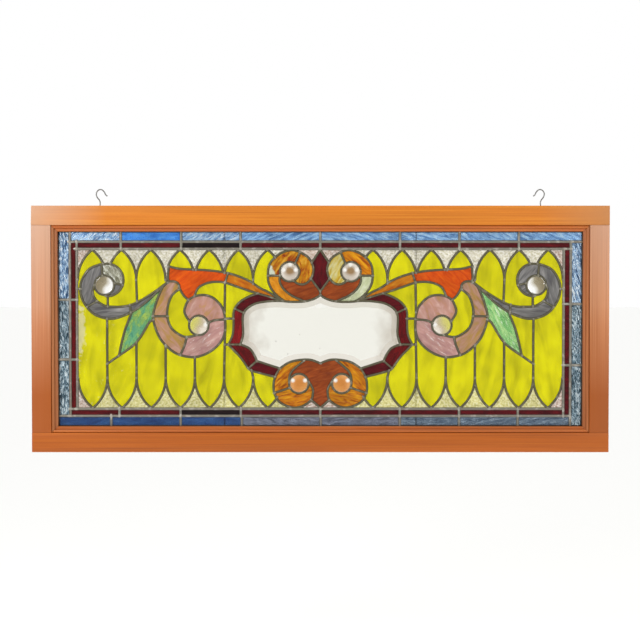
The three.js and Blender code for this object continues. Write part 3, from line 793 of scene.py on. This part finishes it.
lead_net = smooth(join("lead_came_net", [
    dress(came("edge_came", edge_lines, EDGE_CAME), BORDER_LEAD),
    dress(came("border_came", border_lines, BORDER_CAME), BORDER_LEAD),
    dress(came("field_came", field_lines, FIELD_CAME), SHADED_FIELD_LEAD),
    dress(came("jewel_came", rings, RING_CAME, closed=True), SHADED_FIELD_LEAD),
]), 50)
hand_over(lead_net, "lead", "lead_came")

# ---- Glass tiles ----

TUCK = 0.4  # how far a tile reaches under the edge of its came


def offset(path, distance):
    """A path moved sideways, with mitred corners."""
    moved = []
    for i, (x, z) in enumerate(path):
        normals = []
        for a, b in ((i - 1, i), (i, i + 1)):
            if a >= 0 and b < len(path):
                run = math.dist(path[a], path[b])
                normals.append(((path[a][1] - path[b][1]) / run, (path[b][0] - path[a][0]) / run))
        (ax, az), (bx, bz) = normals[0], normals[-1]
        share = distance / (1 + ax * bx + az * bz)
        moved.append((x + share * (ax + bx), z + share * (az + bz)))
    return moved


def strip(path, half):
    return offset(path, -half) + offset(path, half)[::-1]


def turned_left(outline):
    """The outline, running anticlockwise."""
    area = sum(a[0] * b[1] - b[0] * a[1] for a, b in zip(outline, outline[1:] + outline[:1]))
    return outline if area > 0 else outline[::-1]


def cut_tiles():
    """Cuts one sheet along the came. Each tile is its triangles, as three points each."""
    outlines = [[(-EDGE[0], -EDGE[1]), (EDGE[0], -EDGE[1]), (EDGE[0], EDGE[1]),
                 (-EDGE[0], EDGE[1])]]
    for lines, width in ((edge_lines, EDGE_CAME), (border_lines, BORDER_CAME),
                         (field_lines, FIELD_CAME)):
        outlines += [strip(path, width / 2 - TUCK) for path in lines]
    ring = RING_RADIUS + RING_CAME / 2 - TUCK
    outlines += [circle(place, ring) for place in jewel_places.values()]
    points, faces = [], []
    for outline in outlines:
        faces.append(list(range(len(points), len(points) + len(outline))))
        points += [Vector(p) for p in turned_left(outline)]
    corners, _, triangles, _, _, sources = delaunay_2d_cdt(points, [], faces, 1, 1e-4)
    open_glass = [t for t, source in zip(triangles, sources) if list(source) == [0]]
    beside = {}
    for i, t in enumerate(open_glass):
        for a, b in zip(t, t[1:] + t[:1]):
            beside.setdefault(frozenset((a, b)), []).append(i)
    tiles, seen = [], set()
    for start in range(len(open_glass)):
        if start in seen:
            continue
        seen.add(start)
        found, queue = [], [start]
        while queue:
            i = queue.pop()
            found.append([tuple(corners[k]) for k in open_glass[i]])
            t = open_glass[i]
            for a, b in zip(t, t[1:] + t[:1]):
                for j in beside[frozenset((a, b))]:
                    if j not in seen:
                        seen.add(j)
                        queue.append(j)
        tiles.append(found)
    return tiles


def area(triangle):
    (ax, az), (bx, bz), (cx, cz) = triangle
    return abs((bx - ax) * (cz - az) - (cx - ax) * (bz - az)) / 2


def inner_point(tile):
    largest = max(tile, key=area)
    return tuple(sum(p[i] for p in largest) / 3 for i in (0, 1))


def covers(tile, point):
    def side(a, b):
        return (b[0] - a[0]) * (point[1] - a[1]) - (b[1] - a[1]) * (point[0] - a[0])
    for a, b, c in tile:
        turns = (side(a, b), side(b, c), side(c, a))
        if all(t >= 0 for t in turns) or all(t <= 0 for t in turns):
            return True
    return False


SMALLEST_TILE = 12  # square millimetres; anything smaller is a gap filled by solder
tiles = [tile for tile in cut_tiles() if sum(map(area, tile)) > SMALLEST_TILE]

# A point on a tile, its glass, the lay of its streaks in degrees, and its tone.
CHOSEN = [
    (-547, 140, "ripple_white_blue", 92, 1.0),
    (-547, 0, "ripple_steel", -82, 0.92),
    (-547, -130, "ripple_steel", 86, 1.04),
    (-480, 199, "pale_blue_streaky", 42, 1.0),
    (-360, 199, "sky_blue", 5, 1.0),
    (-240, 199, "pale_blue_streaky", 30, 0.95),
    (-90, 199, "wave_blue", 24, 1.0),
    (90, 199, "wave_blue", -20, 1.0),
    (230, 199, "wave_blue", -14, 0.98),
    (360, 199, "wave_blue", -28, 1.0),
    (480, 199, "wave_blue", -24, 1.04),
    (547, 120, "ripple_white_blue", -80, 0.96),
    (547, -10, "ripple_steel", -76, 1.02),
    (547, -150, "ripple_steel", -80, 0.96),
    (-500, -199, "cobalt", 20, 0.96),
    (-360, -199, "cobalt", 5, 1.0),
    (-240, -199, "cobalt", 0, 1.06),
    (-90, -199, "grey_blue", -10, 1.0),
    (90, -199, "grey_blue", 8, 1.02),
    (230, -199, "dusk_blue", 5, 1.0),
    (360, -199, "dusk_blue", 12, 1.0),
    (475, -199, "dusk_blue", 15, 1.0),
    (-524, 120, "maroon_warm", 90, 0.8),
    (-524, 0, "maroon_warm", 90, 1.05),
    (-524, -130, "maroon_warm", 90, 1.1),
    (-240, 177.5, "black_red", 0, 1.0),
    (-240, -177.5, "black_red", 0, 1.2),
    (-483, -40, "yellow_wispy", 84, 1.0),
    (-436, -20, "yellow_wispy", 75, 1.0),
    (-436, -90, "yellow_wispy", 60, 1.0),
    (-513, 60, "yellow_wispy", 84, 0.98),
    (-495, 105, "grey", 72, 1.0),
    (-440, 33, "grey", 4, 1.0),
    (-375, 65, "grey", 38, 1.0),
    (495, 105, "grey", -72, 1.02),
    (440, 33, "grey", -4, 1.0),
    (375, 65, "grey", -38, 0.98),
    (-432, 118, "grey_clear", -58, 1.0),
    (-425, 84, "pink_ochre", 40, 0.8),
    (432, 118, "grey", 50, 1.06),
    (425, 84, "pink_white", 70, 0.9),
    (-338, 60, "pink_ochre", 58, 0.98),
    (-330, -15, "pink_ochre", -48, 1.0),
    (-240, -38, "pink_white", 35, 1.0),
    (-250, 50, "pink", 60, 1.0),
    (338, 60, "pink_ochre", -58, 0.9),
    (330, -15, "pink_ochre", 48, 0.96),
    (240, -38, "pink_white", -35, 0.98),
    (250, 50, "pink", -60, 1.0),
    (-270, 110, "orange", 40, 1.0),
    (270, 110, "orange", -40, 0.97),
    (-160, 96, "orange_band", -30, 1.0),
    (160, 96, "orange_band", 30, 1.0),
    (-174, 0, "ruby", 90, 1.0),
    (-165, -52, "maroon_warm", -60, 1.15),
    (174, 0, "maroon_warm", 90, 1.15),
    (165, -52, "maroon_warm", 60, 1.1),
    (-90, 150, "amber_red", 50, 1.0),
    (-35, 130, "amber_red", 76, 0.98),
    (-96, 85, "amber_gold", -60, 1.0),
    (35, 130, "straw", 58, 1.0),
    (90, 150, "amber_flame", -42, 1.12),
    (96, 85, "pale_green", 60, 1.0),
    (-80, -105, "amber_flame", 40, 1.04),
    (-60, -148, "amber_flame", 8, 1.0),
    (80, -105, "amber_flame", -42, 1.08),
    (60, -148, "amber_flame", -10, 0.92),
]

# The rest takes its glass from its place in the design: glass, lay, and play of the lay.
USUAL = {
    "blue_border": ("wave_blue", 0, 20),
    "red_border": ("maroon", 0, 4),
    "picket": ("yellow", 90, 12),
    "yellow": ("yellow", 70, 30),
    "grey_scroll": ("grey", 20, 20),
    "leaf_left": ("leaf_mottled", 68, 4),
    "leaf_right": ("leaf_light", -62, 4),
    "pink_scroll": ("pink", 30, 30),
    "trumpet": ("orange_band", -15, 10),
    "cartouche_side": ("maroon", 0, 20),
    "top_heart": ("brown", 20, 10),
    "bottom_heart": ("brown", 24, 10),
    "bottom_scroll": ("amber_flame", 20, 20),
    "top_scroll": ("amber_gold", 30, 20),
    "diamond": ("maroon", 90, 4),
    "pale_ground_top": ("granite", 0, 90),
    "pale_ground_bottom": ("granite_yellow", 0, 90),
}
GROUND_PINK = 60  # the pale slips nearer the middle than this, and beyond the last valley
GROUND_CORNER = 500


def node_under(point):
    """The CAD node of glass that lies at a point of the panel."""
    eye = Vector((PANEL.x + point[0] * MM, PANEL.y - 1, PANEL.z + point[1] * MM))
    for name in glass_nodes:
        if frame["nodes"][name].ray_cast(eye, Vector((0, 1, 0)))[0]:
            return name
    return None


def choose(node, tile):
    """The glass, lay and tone of a tile."""
    for x, z, name, lay, tone in CHOSEN:
        if covers(tile, (x, z)):
            return name, lay, tone
    name, lay, play = next(USUAL[key] for key in USUAL if node.startswith(key))
    lay += dice.uniform(-play, play)
    x = abs(inner_point(tile)[0])
    if name.startswith("granite") and (x < GROUND_PINK or x > GROUND_CORNER):
        name = "granite_pink"
    return name, lay, dice.uniform(0.95, 1.03)


def lay_out(name, chosen):
    """The tiles of one node, flat at the back of the glass, with each tile's lay and tone."""
    points, triangles, lays, tones, looks = [], [], [], [], []
    used = sorted({look for _, look, _, _ in chosen})
    for tile, look, turn, tone in chosen:
        c, s = math.cos(math.radians(turn)), math.sin(math.radians(turn))
        shift = (dice.uniform(0, 4), dice.uniform(0, 4))
        numbers = {}
        for triangle in tile:
            for x, z in triangle:
                if (x, z) not in numbers:
                    numbers[(x, z)] = len(points)
                    points.append((PANEL.x + x * MM, PANEL.y + GLASS_FACE * MM,
                                   PANEL.z + z * MM))
                    lays += [(x * c + z * s) * MM + shift[0], (z * c - x * s) * MM + shift[1], 0]
                    tones.append(tone)
            triangles.append([numbers[corner] for corner in triangle])
            looks.append(used.index(look))
    mesh = bpy.data.meshes.new(name)
    mesh.from_pydata(points, [], triangles)
    mesh.attributes.new("lay", "FLOAT_VECTOR", "POINT").data.foreach_set("vector", lays)
    mesh.attributes.new("tone", "FLOAT", "POINT").data.foreach_set("value", tones)
    piece = put(name, mesh)
    dress(piece, *[GLASSES[look] for look in used])
    mesh.polygons.foreach_set("material_index", looks)
    return piece


def thicken(piece, front):
    """Draws the flat tiles out from the back of the glass to a front at this depth."""
    edit_all(piece)
    bpy.ops.mesh.dissolve_limited(angle_limit=SAME_PLANE, delimit={"MATERIAL"})
    reach = front - PANEL.y - GLASS_FACE * MM
    bpy.ops.mesh.extrude_region_move(TRANSFORM_OT_translate={"value": (0, reach, 0)})
    done()
    return piece


NOT_GLASS = ("lead", "reinforcing", "jewel", "hook", "top_rail", "bottom_rail")
glass_nodes = [name for name in frame["nodes"]
               if not name.startswith(NOT_GLASS) and not name.endswith(("stile", "bead"))]
by_node = {}
for tile in tiles:
    by_node.setdefault(node_under(inner_point(tile)), []).append(tile)

slots = {row["node"]: row["material_slot"] for row in frame["record"]["subparts"]}
plate_tiles = by_node.pop("bevelled_plate")
for node, members in sorted(by_node.items()):
    chosen = [(tile, *choose(node, tile)) for tile in members]
    piece = lay_out(f"{node}_glass", chosen)
    outwards(thicken(piece, PANEL.y - GLASS_FACE * MM))
    hand_over(piece, slots[node], node)

# ---- The bevelled plate ----

BEVEL_WIDTH = 12


def outline_of(tile):
    """The outer edge of a tile, as one ring of points, anticlockwise."""
    after = {}
    edges = {(a, b) for t in map(turned_left, tile) for a, b in zip(t, t[1:] + t[:1])}
    for a, b in edges:
        if (b, a) not in edges:
            after[a] = b
    ring = [next(iter(sorted(after)))]
    while after[ring[-1]] != ring[0]:
        ring.append(after[ring[-1]])
    return ring


def gap_to(outline, point):
    """The distance from a point to the nearest side of an outline."""
    nearest = math.inf
    for (ax, az), (bx, bz) in zip(outline, outline[1:] + outline[:1]):
        run = (bx - ax) ** 2 + (bz - az) ** 2
        t = ((point[0] - ax) * (bx - ax) + (point[1] - az) * (bz - az)) / run if run else 0
        t = min(1, max(0, t))
        nearest = min(nearest, math.dist(point, (ax + t * (bx - ax), az + t * (bz - az))))
    return nearest


def ring_within(outline, distance):
    """A ring the same distance inside an outline all the way round."""
    ring = []
    for i, (x, z) in enumerate(outline):
        (ax, az), (bx, bz) = outline[i - 1], outline[(i + 1) % len(outline)]
        run = math.hypot(bx - ax, bz - az)
        point = (x - distance * (bz - az) / run, z + distance * (bx - ax) / run)
        if gap_to(outline, point) > distance - 0.15:
            if not ring or math.dist(point, ring[-1]) > 1.0:
                ring.append(point)
    return ring


plate_outline = outline_of(max(plate_tiles, key=lambda t: sum(map(area, t))))
flat_ring = ring_within(plate_outline, BEVEL_WIDTH)
everything = plate_outline + flat_ring
corners, _, triangles, _, _, sources = delaunay_2d_cdt(
    [Vector(point) for point in everything], [],
    [list(range(len(plate_outline))), list(range(len(plate_outline), len(everything)))], 1, 1e-4)
mesh = bpy.data.meshes.new("clear_plate")
mesh.from_pydata([(PANEL.x + x * MM, PANEL.y + GLASS_FACE * MM, PANEL.z + z * MM)
                  for x, z in corners], [], triangles)
plate = put("clear_plate", mesh)
edit_all(plate)
bpy.ops.mesh.extrude_region_move(TRANSFORM_OT_translate={"value": (0, -2 * GLASS_FACE * MM, 0)})
done()
outwards(plate)
low_front = PANEL.y - GLASS_FACE * MM


def on_the_flat(vertex):
    point = ((vertex.co.x - PANEL.x) / MM, (vertex.co.z - PANEL.z) / MM)
    return vertex.co.y < low_front + 1e-5 and gap_to(flat_ring, point) < 0.01


edit(plate, "VERT")
pick(plate, "vertices", on_the_flat)
bpy.ops.transform.translate(value=(0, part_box("bevelled_plate")[0].y - low_front, 0))
done()
# The bevel's material is painted darker than the flat: painted shade on its slope.
dress(smooth(plate, 6), clear_glass("plate glass", [(0.0, "#fbfaf2"), (1.0, "#cfc6b8")]),
      clear_glass("plate glass, ground bevel", [(0.0, "#dad2c4"), (1.0, "#bcb2a2")], 0.06))
for face in plate.data.polygons:
    face.material_index = int(-0.9995 < face.normal.y < -0.5)
hand_over(plate, "clear_glass", "bevelled_plate")

# ---- Jewels ----


def jewel_glass(name, sides, centre=None, painted_glints=()):
    """A jewel's colours run across it, from its outer to its inner side, in lay: painted light
    and shade the dome would gather from around it, a painted darker rim, and painted glints.
    """
    look = Finish(name, Roughness=0.03, IOR=1.5, Transmission_Weight=1.0)
    spot = look.own("lay")
    across = look.add("ShaderNodeVectorMath", {0: spot, 1: (0.93, -0.37, 0)},
                      operation="DOT_PRODUCT").outputs["Value"]
    out = look.add("ShaderNodeVectorMath", {0: spot}, operation="LENGTH").outputs["Value"]
    drift = look.spread(look.noise(spot, 1.2, detail=0), 0.3, 0.7, -0.12, 0.12)
    # Painted reflection: pale on one side and shaded on the other, as the dome would bend the
    # light around it.
    body = look.ramp(look.spread(look.math("ADD", across, drift), -1, 1), sides)
    if centre:
        body = look.mix(look.spread(look.math("ADD", out, drift), 0.25, 0.7), colour(centre),
                        body)
    # Painted shade: a darker rim round the jewel's edge.
    body = look.mix(look.spread(out, 0.86, 0.99), body, colour("#8c8676"))
    # Painted highlights: small white glints where the lamps would catch the dome.
    for u, v in painted_glints:
        away = look.add("ShaderNodeVectorMath", {0: spot, 1: (u, v, 0)}, operation="DISTANCE")
        body = look.mix(look.spread(away.outputs["Value"], 0.10, 0.30), colour("#fffdf6"), body)
    look.give("Base Color", body)
    look.bump(look.noise(spot, 3, detail=1), 0.0003, 0.5)
    return look.material


JEWEL_GLASSES = {
    "grey_scroll": jewel_glass("jewel glass, smoky", [
        (0.20, "#908468"), (0.48, "#a69c82"), (0.60, "#ddd8ca"), (0.74, "#fffffb")]),
    "pink_scroll": jewel_glass("jewel glass, straw", [
        (0.15, "#dcd66a"), (0.42, "#d2c78c"), (0.60, "#cfbfa2"), (0.80, "#ece2d2")],
        painted_glints=[(0.74, 0.08)]),
    "top_scroll": jewel_glass("jewel glass, clear", [
        (0.20, "#e8dfd2"), (0.50, "#d8ccbc"), (0.80, "#cfc4b6")], centre="#a08058",
        painted_glints=[(-0.66, 0.2), (0.66, 0.2), (0.05, 0.78)]),
    "bottom_scroll": jewel_glass("jewel glass, amber", [
        (0.20, "#e8a462"), (0.50, "#dc924a"), (0.80, "#e09a50")], centre="#d68a40",
        painted_glints=[(-0.66, 0.34), (0.68, 0.34)]),
}


JEWEL_PLAY = 0.2  # the room left between a jewel and its ring


def jewel(node, centre, glass_kind):
    """A pressed glass jewel: a high front dome and a lower back one."""
    low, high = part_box(node)
    girdle = PANEL.y - GLASS_FACE * MM
    radius = (JEWEL_RADIUS - JEWEL_PLAY) * MM
    place = (PANEL.x + centre[0] * MM, girdle, PANEL.z + centre[1] * MM)
    bpy.ops.object.select_all(action="DESELECT")
    bpy.ops.mesh.primitive_uv_sphere_add(segments=48, ring_count=24, radius=radius,
                                         location=place, rotation=(math.radians(90), 0, 0))
    piece = settle(bpy.context.object)
    piece.name = piece.data.name = f"{node}_glass"
    for back, depth in ((False, girdle - low.y), (True, high.y - girdle)):
        pick(piece, "vertices", lambda v: (v.co.y > girdle) == back
             and abs(v.co.y - girdle) > 1e-6)
        bpy.ops.transform.resize(value=(1, depth / radius, 1), center_override=place)
        done()
    outer = -1 if centre[0] < 0 else 1
    lay = piece.data.attributes.new("lay", "FLOAT_VECTOR", "POINT")
    lay.data.foreach_set("vector", [value for v in piece.data.vertices for value in (
        (place[0] - v.co.x) / radius * outer, (v.co.z - place[2]) / radius, 0)])
    dress(smooth(piece, 80), glass_kind)
    return hand_over(piece, "clear_glass", node)


for node, centre in jewel_places.items():
    kind = next(key for key in JEWEL_GLASSES if key in node)
    jewel(node, centre, JEWEL_GLASSES[kind])

# ---- Solder ----

JOINT_GAP = 5  # ends of came closer together than this share one joint
SUNK = 0.2  # a joint's middle lies this far below the face of the came


def solder_places(lines):
    """Where came ends meet, and which way the came runs there."""
    found = []
    for path in lines:
        for end, before in ((path[0], path[1]), (path[-1], path[-2])):
            if all(math.dist(end, other[0]) > JOINT_GAP for other in found):
                found.append((end, math.atan2(end[1] - before[1], end[0] - before[0])))
    return found


def solder(name, lines, width, material):
    """Low uneven runs of solder over the joints, on both faces of the came."""
    bpy.ops.object.select_all(action="DESELECT")
    bpy.ops.mesh.primitive_uv_sphere_add(segments=14, ring_count=8, radius=1,
                                         rotation=(math.radians(90), 0, 0))
    pattern = settle(bpy.context.object)
    blobs = []
    for (x, z), lay in solder_places(lines):
        for face in (-1, 1):
            blob = pattern.copy()
            blob.data = pattern.data.copy()
            bpy.context.scene.collection.objects.link(blob)
            blob.scale = (width * dice.uniform(0.62, 1.0) * MM, 0.5 * MM,
                          width * dice.uniform(0.48, 0.58) * MM)
            blob.rotation_euler = (0, -lay, 0)
            blob.location = (PANEL.x + x * MM, PANEL.y + face * (LEAD_FACE - SUNK) * MM,
                             PANEL.z + z * MM)
            blobs.append(blob)
    bpy.data.objects.remove(pattern)
    return dress(smooth(settle(join(name, blobs)), 80), material)


hand_over(join("solder_joints", [
    solder("border_joints", border_lines, BORDER_CAME, BORDER_SOLDER),
    solder("field_joints", field_lines, FIELD_CAME, SHADED_FIELD_SOLDER)]), "lead")

# ---- Sash ----

CENTRE_Z = (sash_low.z + sash_high.z) / 2
FIR_SHADES = {
    "top_rail": ("#bc6808", "#cc7410", "#d47e18", "#dc8c28"),
    "bottom_rail": ("#9a4a02", "#ac5404", "#b45c08", "#bc6612"),
    "left_stile": ("#ac6a40", "#bc7a50", "#c68860", "#ce9672"),
    "right_stile": ("#ac683c", "#bc784a", "#c68456", "#d09264"),
}
# Painted light and shade on the sash: paler towards the top and the upper left, where the light
# falls, darker and more orange low down.
PAINTED_LIGHT_RAMPS = {
    "top_rail": [("#cc9c7a", 0, -0.45, -0.61, 0.9), ("#b87c46", 0, 0.46, 0.61, 0.8)],
    "bottom_rail": [("#ae5810", 0, 0.45, 0.61, 0.5)],
    "left_stile": [("#cda68c", 2, CENTRE_Z, sash_high.z, 0.85),
                   ("#a24e02", 2, CENTRE_Z + 0.05, sash_low.z + 0.12, 0.95)],
    "right_stile": [("#c4987c", 2, CENTRE_Z, sash_high.z, 0.75),
                    ("#9a4a02", 2, CENTRE_Z + 0.05, sash_low.z + 0.12, 0.95)],
}
ARRIS = 0.9 * MM
LONG_EDGE = 0.2  # metres; the short edges lie across the ends


def member(node):
    """A rail or stile with its long arrises eased."""
    piece = copy_of(node, f"{node}_wood")
    edit(piece, "EDGE")

    def is_long(edge):
        a, b = (piece.data.vertices[i].co for i in edge.vertices)
        return (a - b).length > LONG_EDGE
    pick(piece, "edges", is_long)
    bpy.ops.mesh.bevel(offset=ARRIS, segments=3, profile=0.5)
    done()
    along = 0 if "rail" in node else 2
    dress(smooth(piece, 30), fir(f"fir, {node.replace('_', ' ')}", along, FIR_SHADES[node],
                                 PAINTED_LIGHT_RAMPS[node]))
    return hand_over(piece, "fir", node)


for node in FIR_SHADES:
    member(node)

# ---- Glazing beads ----

NOSE_RADIUS = 3.3


def bead_outline():
    """The bead's section: inward from the stock, and out from the middle of the sash."""
    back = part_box("top_bead")[1].y / MM
    nose = [(NOSE_RADIUS * (1 - math.cos(t)), 13.4 + NOSE_RADIUS * math.sin(t))
            for t in (math.pi * k / 12 for k in range(13))]
    fillet = [(6.7, 11.6), (7.1, 11.2), (11.9, 11.2), (12.5, 10.8), (12.7, 10.2)]
    return [(0.0, -back)] + nose + fillet + [(12.7, -back)]


def bead(node, along, inward):
    """One length of moulding, mitred at both ends. along and inward are unit directions."""
    low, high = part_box(node)
    along, inward = Vector(along), Vector(inward)
    middle = (low + high) / 2
    half = abs(along.dot(high - low)) / 2
    outer = middle - inward * abs(inward.dot(high - low)) / 2
    outer.y = 0
    outline = bead_outline()
    bpy.ops.object.select_all(action="DESELECT")
    bpy.ops.mesh.primitive_circle_add(vertices=len(outline), radius=0.01, fill_type="NGON")
    piece = bpy.context.object
    piece.name = piece.data.name = f"{node}_wood"
    for vertex, (step, out) in zip(piece.data.vertices, outline):
        vertex.co = outer - along * half + inward * step * MM + Vector((0, -out * MM, 0))
    edit_all(piece)
    bpy.ops.mesh.extrude_region_move(TRANSFORM_OT_translate={"value": along * 2 * half})
    for end in (-1, 1):
        bpy.ops.mesh.select_all(action="SELECT")
        bpy.ops.mesh.bisect(plane_co=outer + along * end * half,
                            plane_no=(along * end + inward).normalized(),
                            clear_outer=True, use_fill=True)
    bpy.ops.mesh.select_all(action="SELECT")
    bpy.ops.mesh.normals_make_consistent(inside=False)
    done()
    return piece


BEAD_RUNS = {
    "top_bead": ((1, 0, 0), (0, 0, -1)),
    "bottom_bead": ((1, 0, 0), (0, 0, 1)),
    "left_bead": ((0, 0, 1), (1, 0, 0)),
    "right_bead": ((0, 0, 1), (-1, 0, 0)),
}
# Each bead is the same fir, tinted for the light on its side; the left bead's darker colours are
# painted shade.
BEAD_SHADES = {
    "top_bead": ("#a04c10", "#b65c18", "#c26e28", "#cc8038"),
    "bottom_bead": ("#984812", "#ae5818", "#bc6626", "#c87838"),
    "left_bead": ("#8c4a22", "#9e5a2c", "#b07040", "#be8456"),
    "right_bead": ("#8e4c20", "#a05a2a", "#b06c3c", "#be7e50"),
}
for node, (along, inward) in BEAD_RUNS.items():
    piece = bead(node, along, inward)
    axis = 0 if along[0] else 2
    dress(smooth(piece, 30), fir(f"fir, {node.replace('_', ' ')}", axis, BEAD_SHADES[node]))
    hand_over(piece, "fir_bead", node)

# A thin dark line between bead and glass: a painted shadow line, standing in for the shade in the
# gap there.
SHADOW_LINE = worn_and_shaded("painted shadow line", "#2e2820", "#241f18", "#3a332a", 0.9, metal=0.0)
SIGHT = (556, 206.5)  # the opening that shows inside the beads, from its middle
SHADOW_LINE_WIDTH = 3
line = came("painted_shadow_line", rectangle(SIGHT, SHADOW_LINE_WIDTH), SHADOW_LINE_WIDTH)
hand_over(dress(line, SHADOW_LINE), "lead")

# ---- Hooks and bars ----

WIRE = steel("drawn wire", "#8f8f8c", "#6c6a66", 0.35)
BAR = steel("bar steel", "#6e6c68", "#4c4640", 0.55)
HOOK_BEND = [(0.6, -20), (0.6, -8), (0.8, 0), (0.6, 10), (-6.2, 21), (-6.2, 29.2), (2.4, 35.0),
             (9.8, 29.8), (13.0, 23.8), (16.4, 21)]
HOOK_WIRE = 2.6
HOOK_REACH = 467.5  # from the middle of the sash to each shank
BAR_EDGE = 0.5 * MM


def hook(node, side):
    """An open hook of bent wire, its mouth turned towards the middle."""
    shank_x = side * HOOK_REACH * MM
    wire = bpy.data.curves.new(node, "CURVE")
    wire.dimensions = "3D"
    wire.bevel_depth = HOOK_WIRE / 2 * MM
    wire.bevel_resolution = 4
    wire.use_fill_caps = True
    wire.resolution_u = 8
    spline = wire.splines.new("BEZIER")
    spline.bezier_points.add(len(HOOK_BEND) - 1)
    for point, (inward, up) in zip(spline.bezier_points, HOOK_BEND):
        point.co = (shank_x - side * inward * MM, 0, sash_high.z + up * MM)
        point.handle_left_type = point.handle_right_type = "AUTO"
    piece = put(f"{node}_wire", wire)
    only(piece)
    bpy.ops.object.convert(target="MESH")
    dress(smooth(close_up(piece), 60), WIRE)
    return hand_over(piece, "steel", node)


hook("hook_left", -1)
hook("hook_right", 1)


def bar(node):
    """A flat bar with its edges eased."""
    piece = copy_of(node, f"{node}_steel")
    edit_all(piece)
    bpy.ops.mesh.bevel(offset=BAR_EDGE, segments=2)
    done()
    dress(smooth(piece, 30), BAR)
    return hand_over(piece, "steel", node)


bar("reinforcing_bar_left")
bar("reinforcing_bar_right")

# ---- Flecks ----


def fleck(place, radius):
    """One small flat drop, a third as thick as it is wide."""
    bpy.ops.object.select_all(action="DESELECT")
    bpy.ops.mesh.primitive_uv_sphere_add(segments=12, ring_count=6, radius=radius * MM,
                                         location=place, scale=(1, 0.33, 1.3))
    return settle(bpy.context.object)


FLECK_SUNK = 0.6 * MM  # a fleck's middle lies this deep in the wood
PAINT_FLECKS = [(-597.7, -192.4, 1.6), (-597.0, -189.2, 0.8), (527.4, -222.2, 0.9),
                (112.0, -223.2, 0.8)]
PLATE_SPECKS = [(-94, -26, 0.9), (-44, -12, 0.8), (-69, -53, 0.8), (-1, -41, 0.7)]


def flecks(name, spots, depth, slot, material):
    """Flecks of one kind: x, z and radius in millimetres, all at one depth."""
    whole = join(name, [fleck((PANEL.x + x * MM, depth, PANEL.z + z * MM), radius)
                        for x, z, radius in spots])
    hand_over(dress(smooth(whole, 80), material), slot)


flecks("paint_flecks", PAINT_FLECKS, sash_low.y + FLECK_SUNK, "fir",
       worn_and_shaded("dried paint", "#e8e2da", "#c8c0b4", "#f4f0ea", 0.8, metal=0.0))
flecks("plate_specks", PLATE_SPECKS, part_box("bevelled_plate")[0].y, "clear_glass",
       worn_and_shaded("dull specks", "#8c8478", "#6e665a", "#a8a094", 0.8, metal=0.0))

# ---- Stage, light and camera ----


def plain(name, code, rough=0.9):
    look = Finish(name, Roughness=rough)
    look.give("Base Color", look.ramp(look.noise(look.place(), 3, detail=1),
                                      [(0.3, code), (0.7, code)]))
    return look.material


FLOOR_DROP = 0.62  # the window hangs well clear of the floor
FLOOR_SIZE = 60
FLOOR_FRONT = -4  # the floor stops here, so the glass doesn't mirror its far end
bpy.ops.object.select_all(action="DESELECT")
bpy.ops.mesh.primitive_plane_add(
    size=FLOOR_SIZE, location=(0, FLOOR_FRONT + FLOOR_SIZE / 2, sash_low.z - FLOOR_DROP))
floor = settle(bpy.context.object)
floor.name = "studio_floor"
edit_all(floor)
bpy.ops.mesh.subdivide(number_cuts=4)
done()
dress(floor, plain("studio white", "#fafaf8"))

# White light from behind the window and a dimmer room in front of it.
ROOM = 0.38
ROOM_END, WHITE_START = -0.7, 0.3  # how far round towards the back the light grows
world = bpy.data.worlds.new("studio")
bpy.context.scene.world = world
world.use_nodes = True
sky = world.node_tree
towards = sky.nodes.new("ShaderNodeTexCoord")
parts = sky.nodes.new("ShaderNodeSeparateXYZ")
level = sky.nodes.new("ShaderNodeMapRange")
level.interpolation_type = "SMOOTHSTEP"
for key, value in (("From Min", ROOM_END), ("From Max", WHITE_START), ("To Min", ROOM),
                   ("To Max", 1.0)):
    level.inputs[key].default_value = value
sky.links.new(towards.outputs["Generated"], parts.inputs["Vector"])
sky.links.new(parts.outputs["Y"], level.inputs["Value"])
sky.links.new(level.outputs["Result"], sky.nodes["Background"].inputs["Strength"])
sky.nodes["Background"].inputs["Color"].default_value = (1.0, 1.0, 1.0, 1.0)


def lamp(name, place, aim, size, power):
    """A soft rectangular lamp of a width and height, turned to face its aim."""
    data = bpy.data.lights.new(name, "AREA")
    data.shape = "RECTANGLE"
    data.size, data.size_y = size
    data.energy = power
    light = put(name, data)
    light.location = place
    light.rotation_euler = (Vector(aim) - Vector(place)).to_track_quat("-Z", "Y").to_euler()


middle = Vector((0, 0, CENTRE_Z))
lamp("left_light", (-1.4, -1.75, CENTRE_Z + 0.7), middle, (0.5, 0.7), 18)
lamp("right_light", (1.4, -1.75, CENTRE_Z + 0.5), middle, (0.5, 0.6), 10)
lamp("top_light", (0, -1.5, CENTRE_Z + 1.6), middle, (0.4, 0.3), 7)
overhead = bpy.data.lights.new("overhead_light", "SUN")
overhead.energy = 0.75
overhead.angle = math.radians(40)
put("overhead_light", overhead)

DISTANCE = 2.8
VIEW_WIDTH = 1.35936  # how much of the window's plane the frame takes in
SENSOR = 36
PITCH_DOWN = math.radians(1.5)
AIM_ABOVE = 0.019
camera_data = bpy.data.cameras.new("camera")
camera_data.sensor_width = SENSOR
camera_data.lens = SENSOR * DISTANCE / VIEW_WIDTH
camera = put("camera", camera_data)
aim = Vector((-0.0006, 0, CENTRE_Z + AIM_ABOVE))
camera.location = aim + DISTANCE * Vector((0, -math.cos(PITCH_DOWN), math.sin(PITCH_DOWN)))
camera.rotation_euler = (math.radians(90) - PITCH_DOWN, 0, 0)
bpy.context.scene.camera = camera
bpy.context.scene.view_settings.view_transform = "Standard"
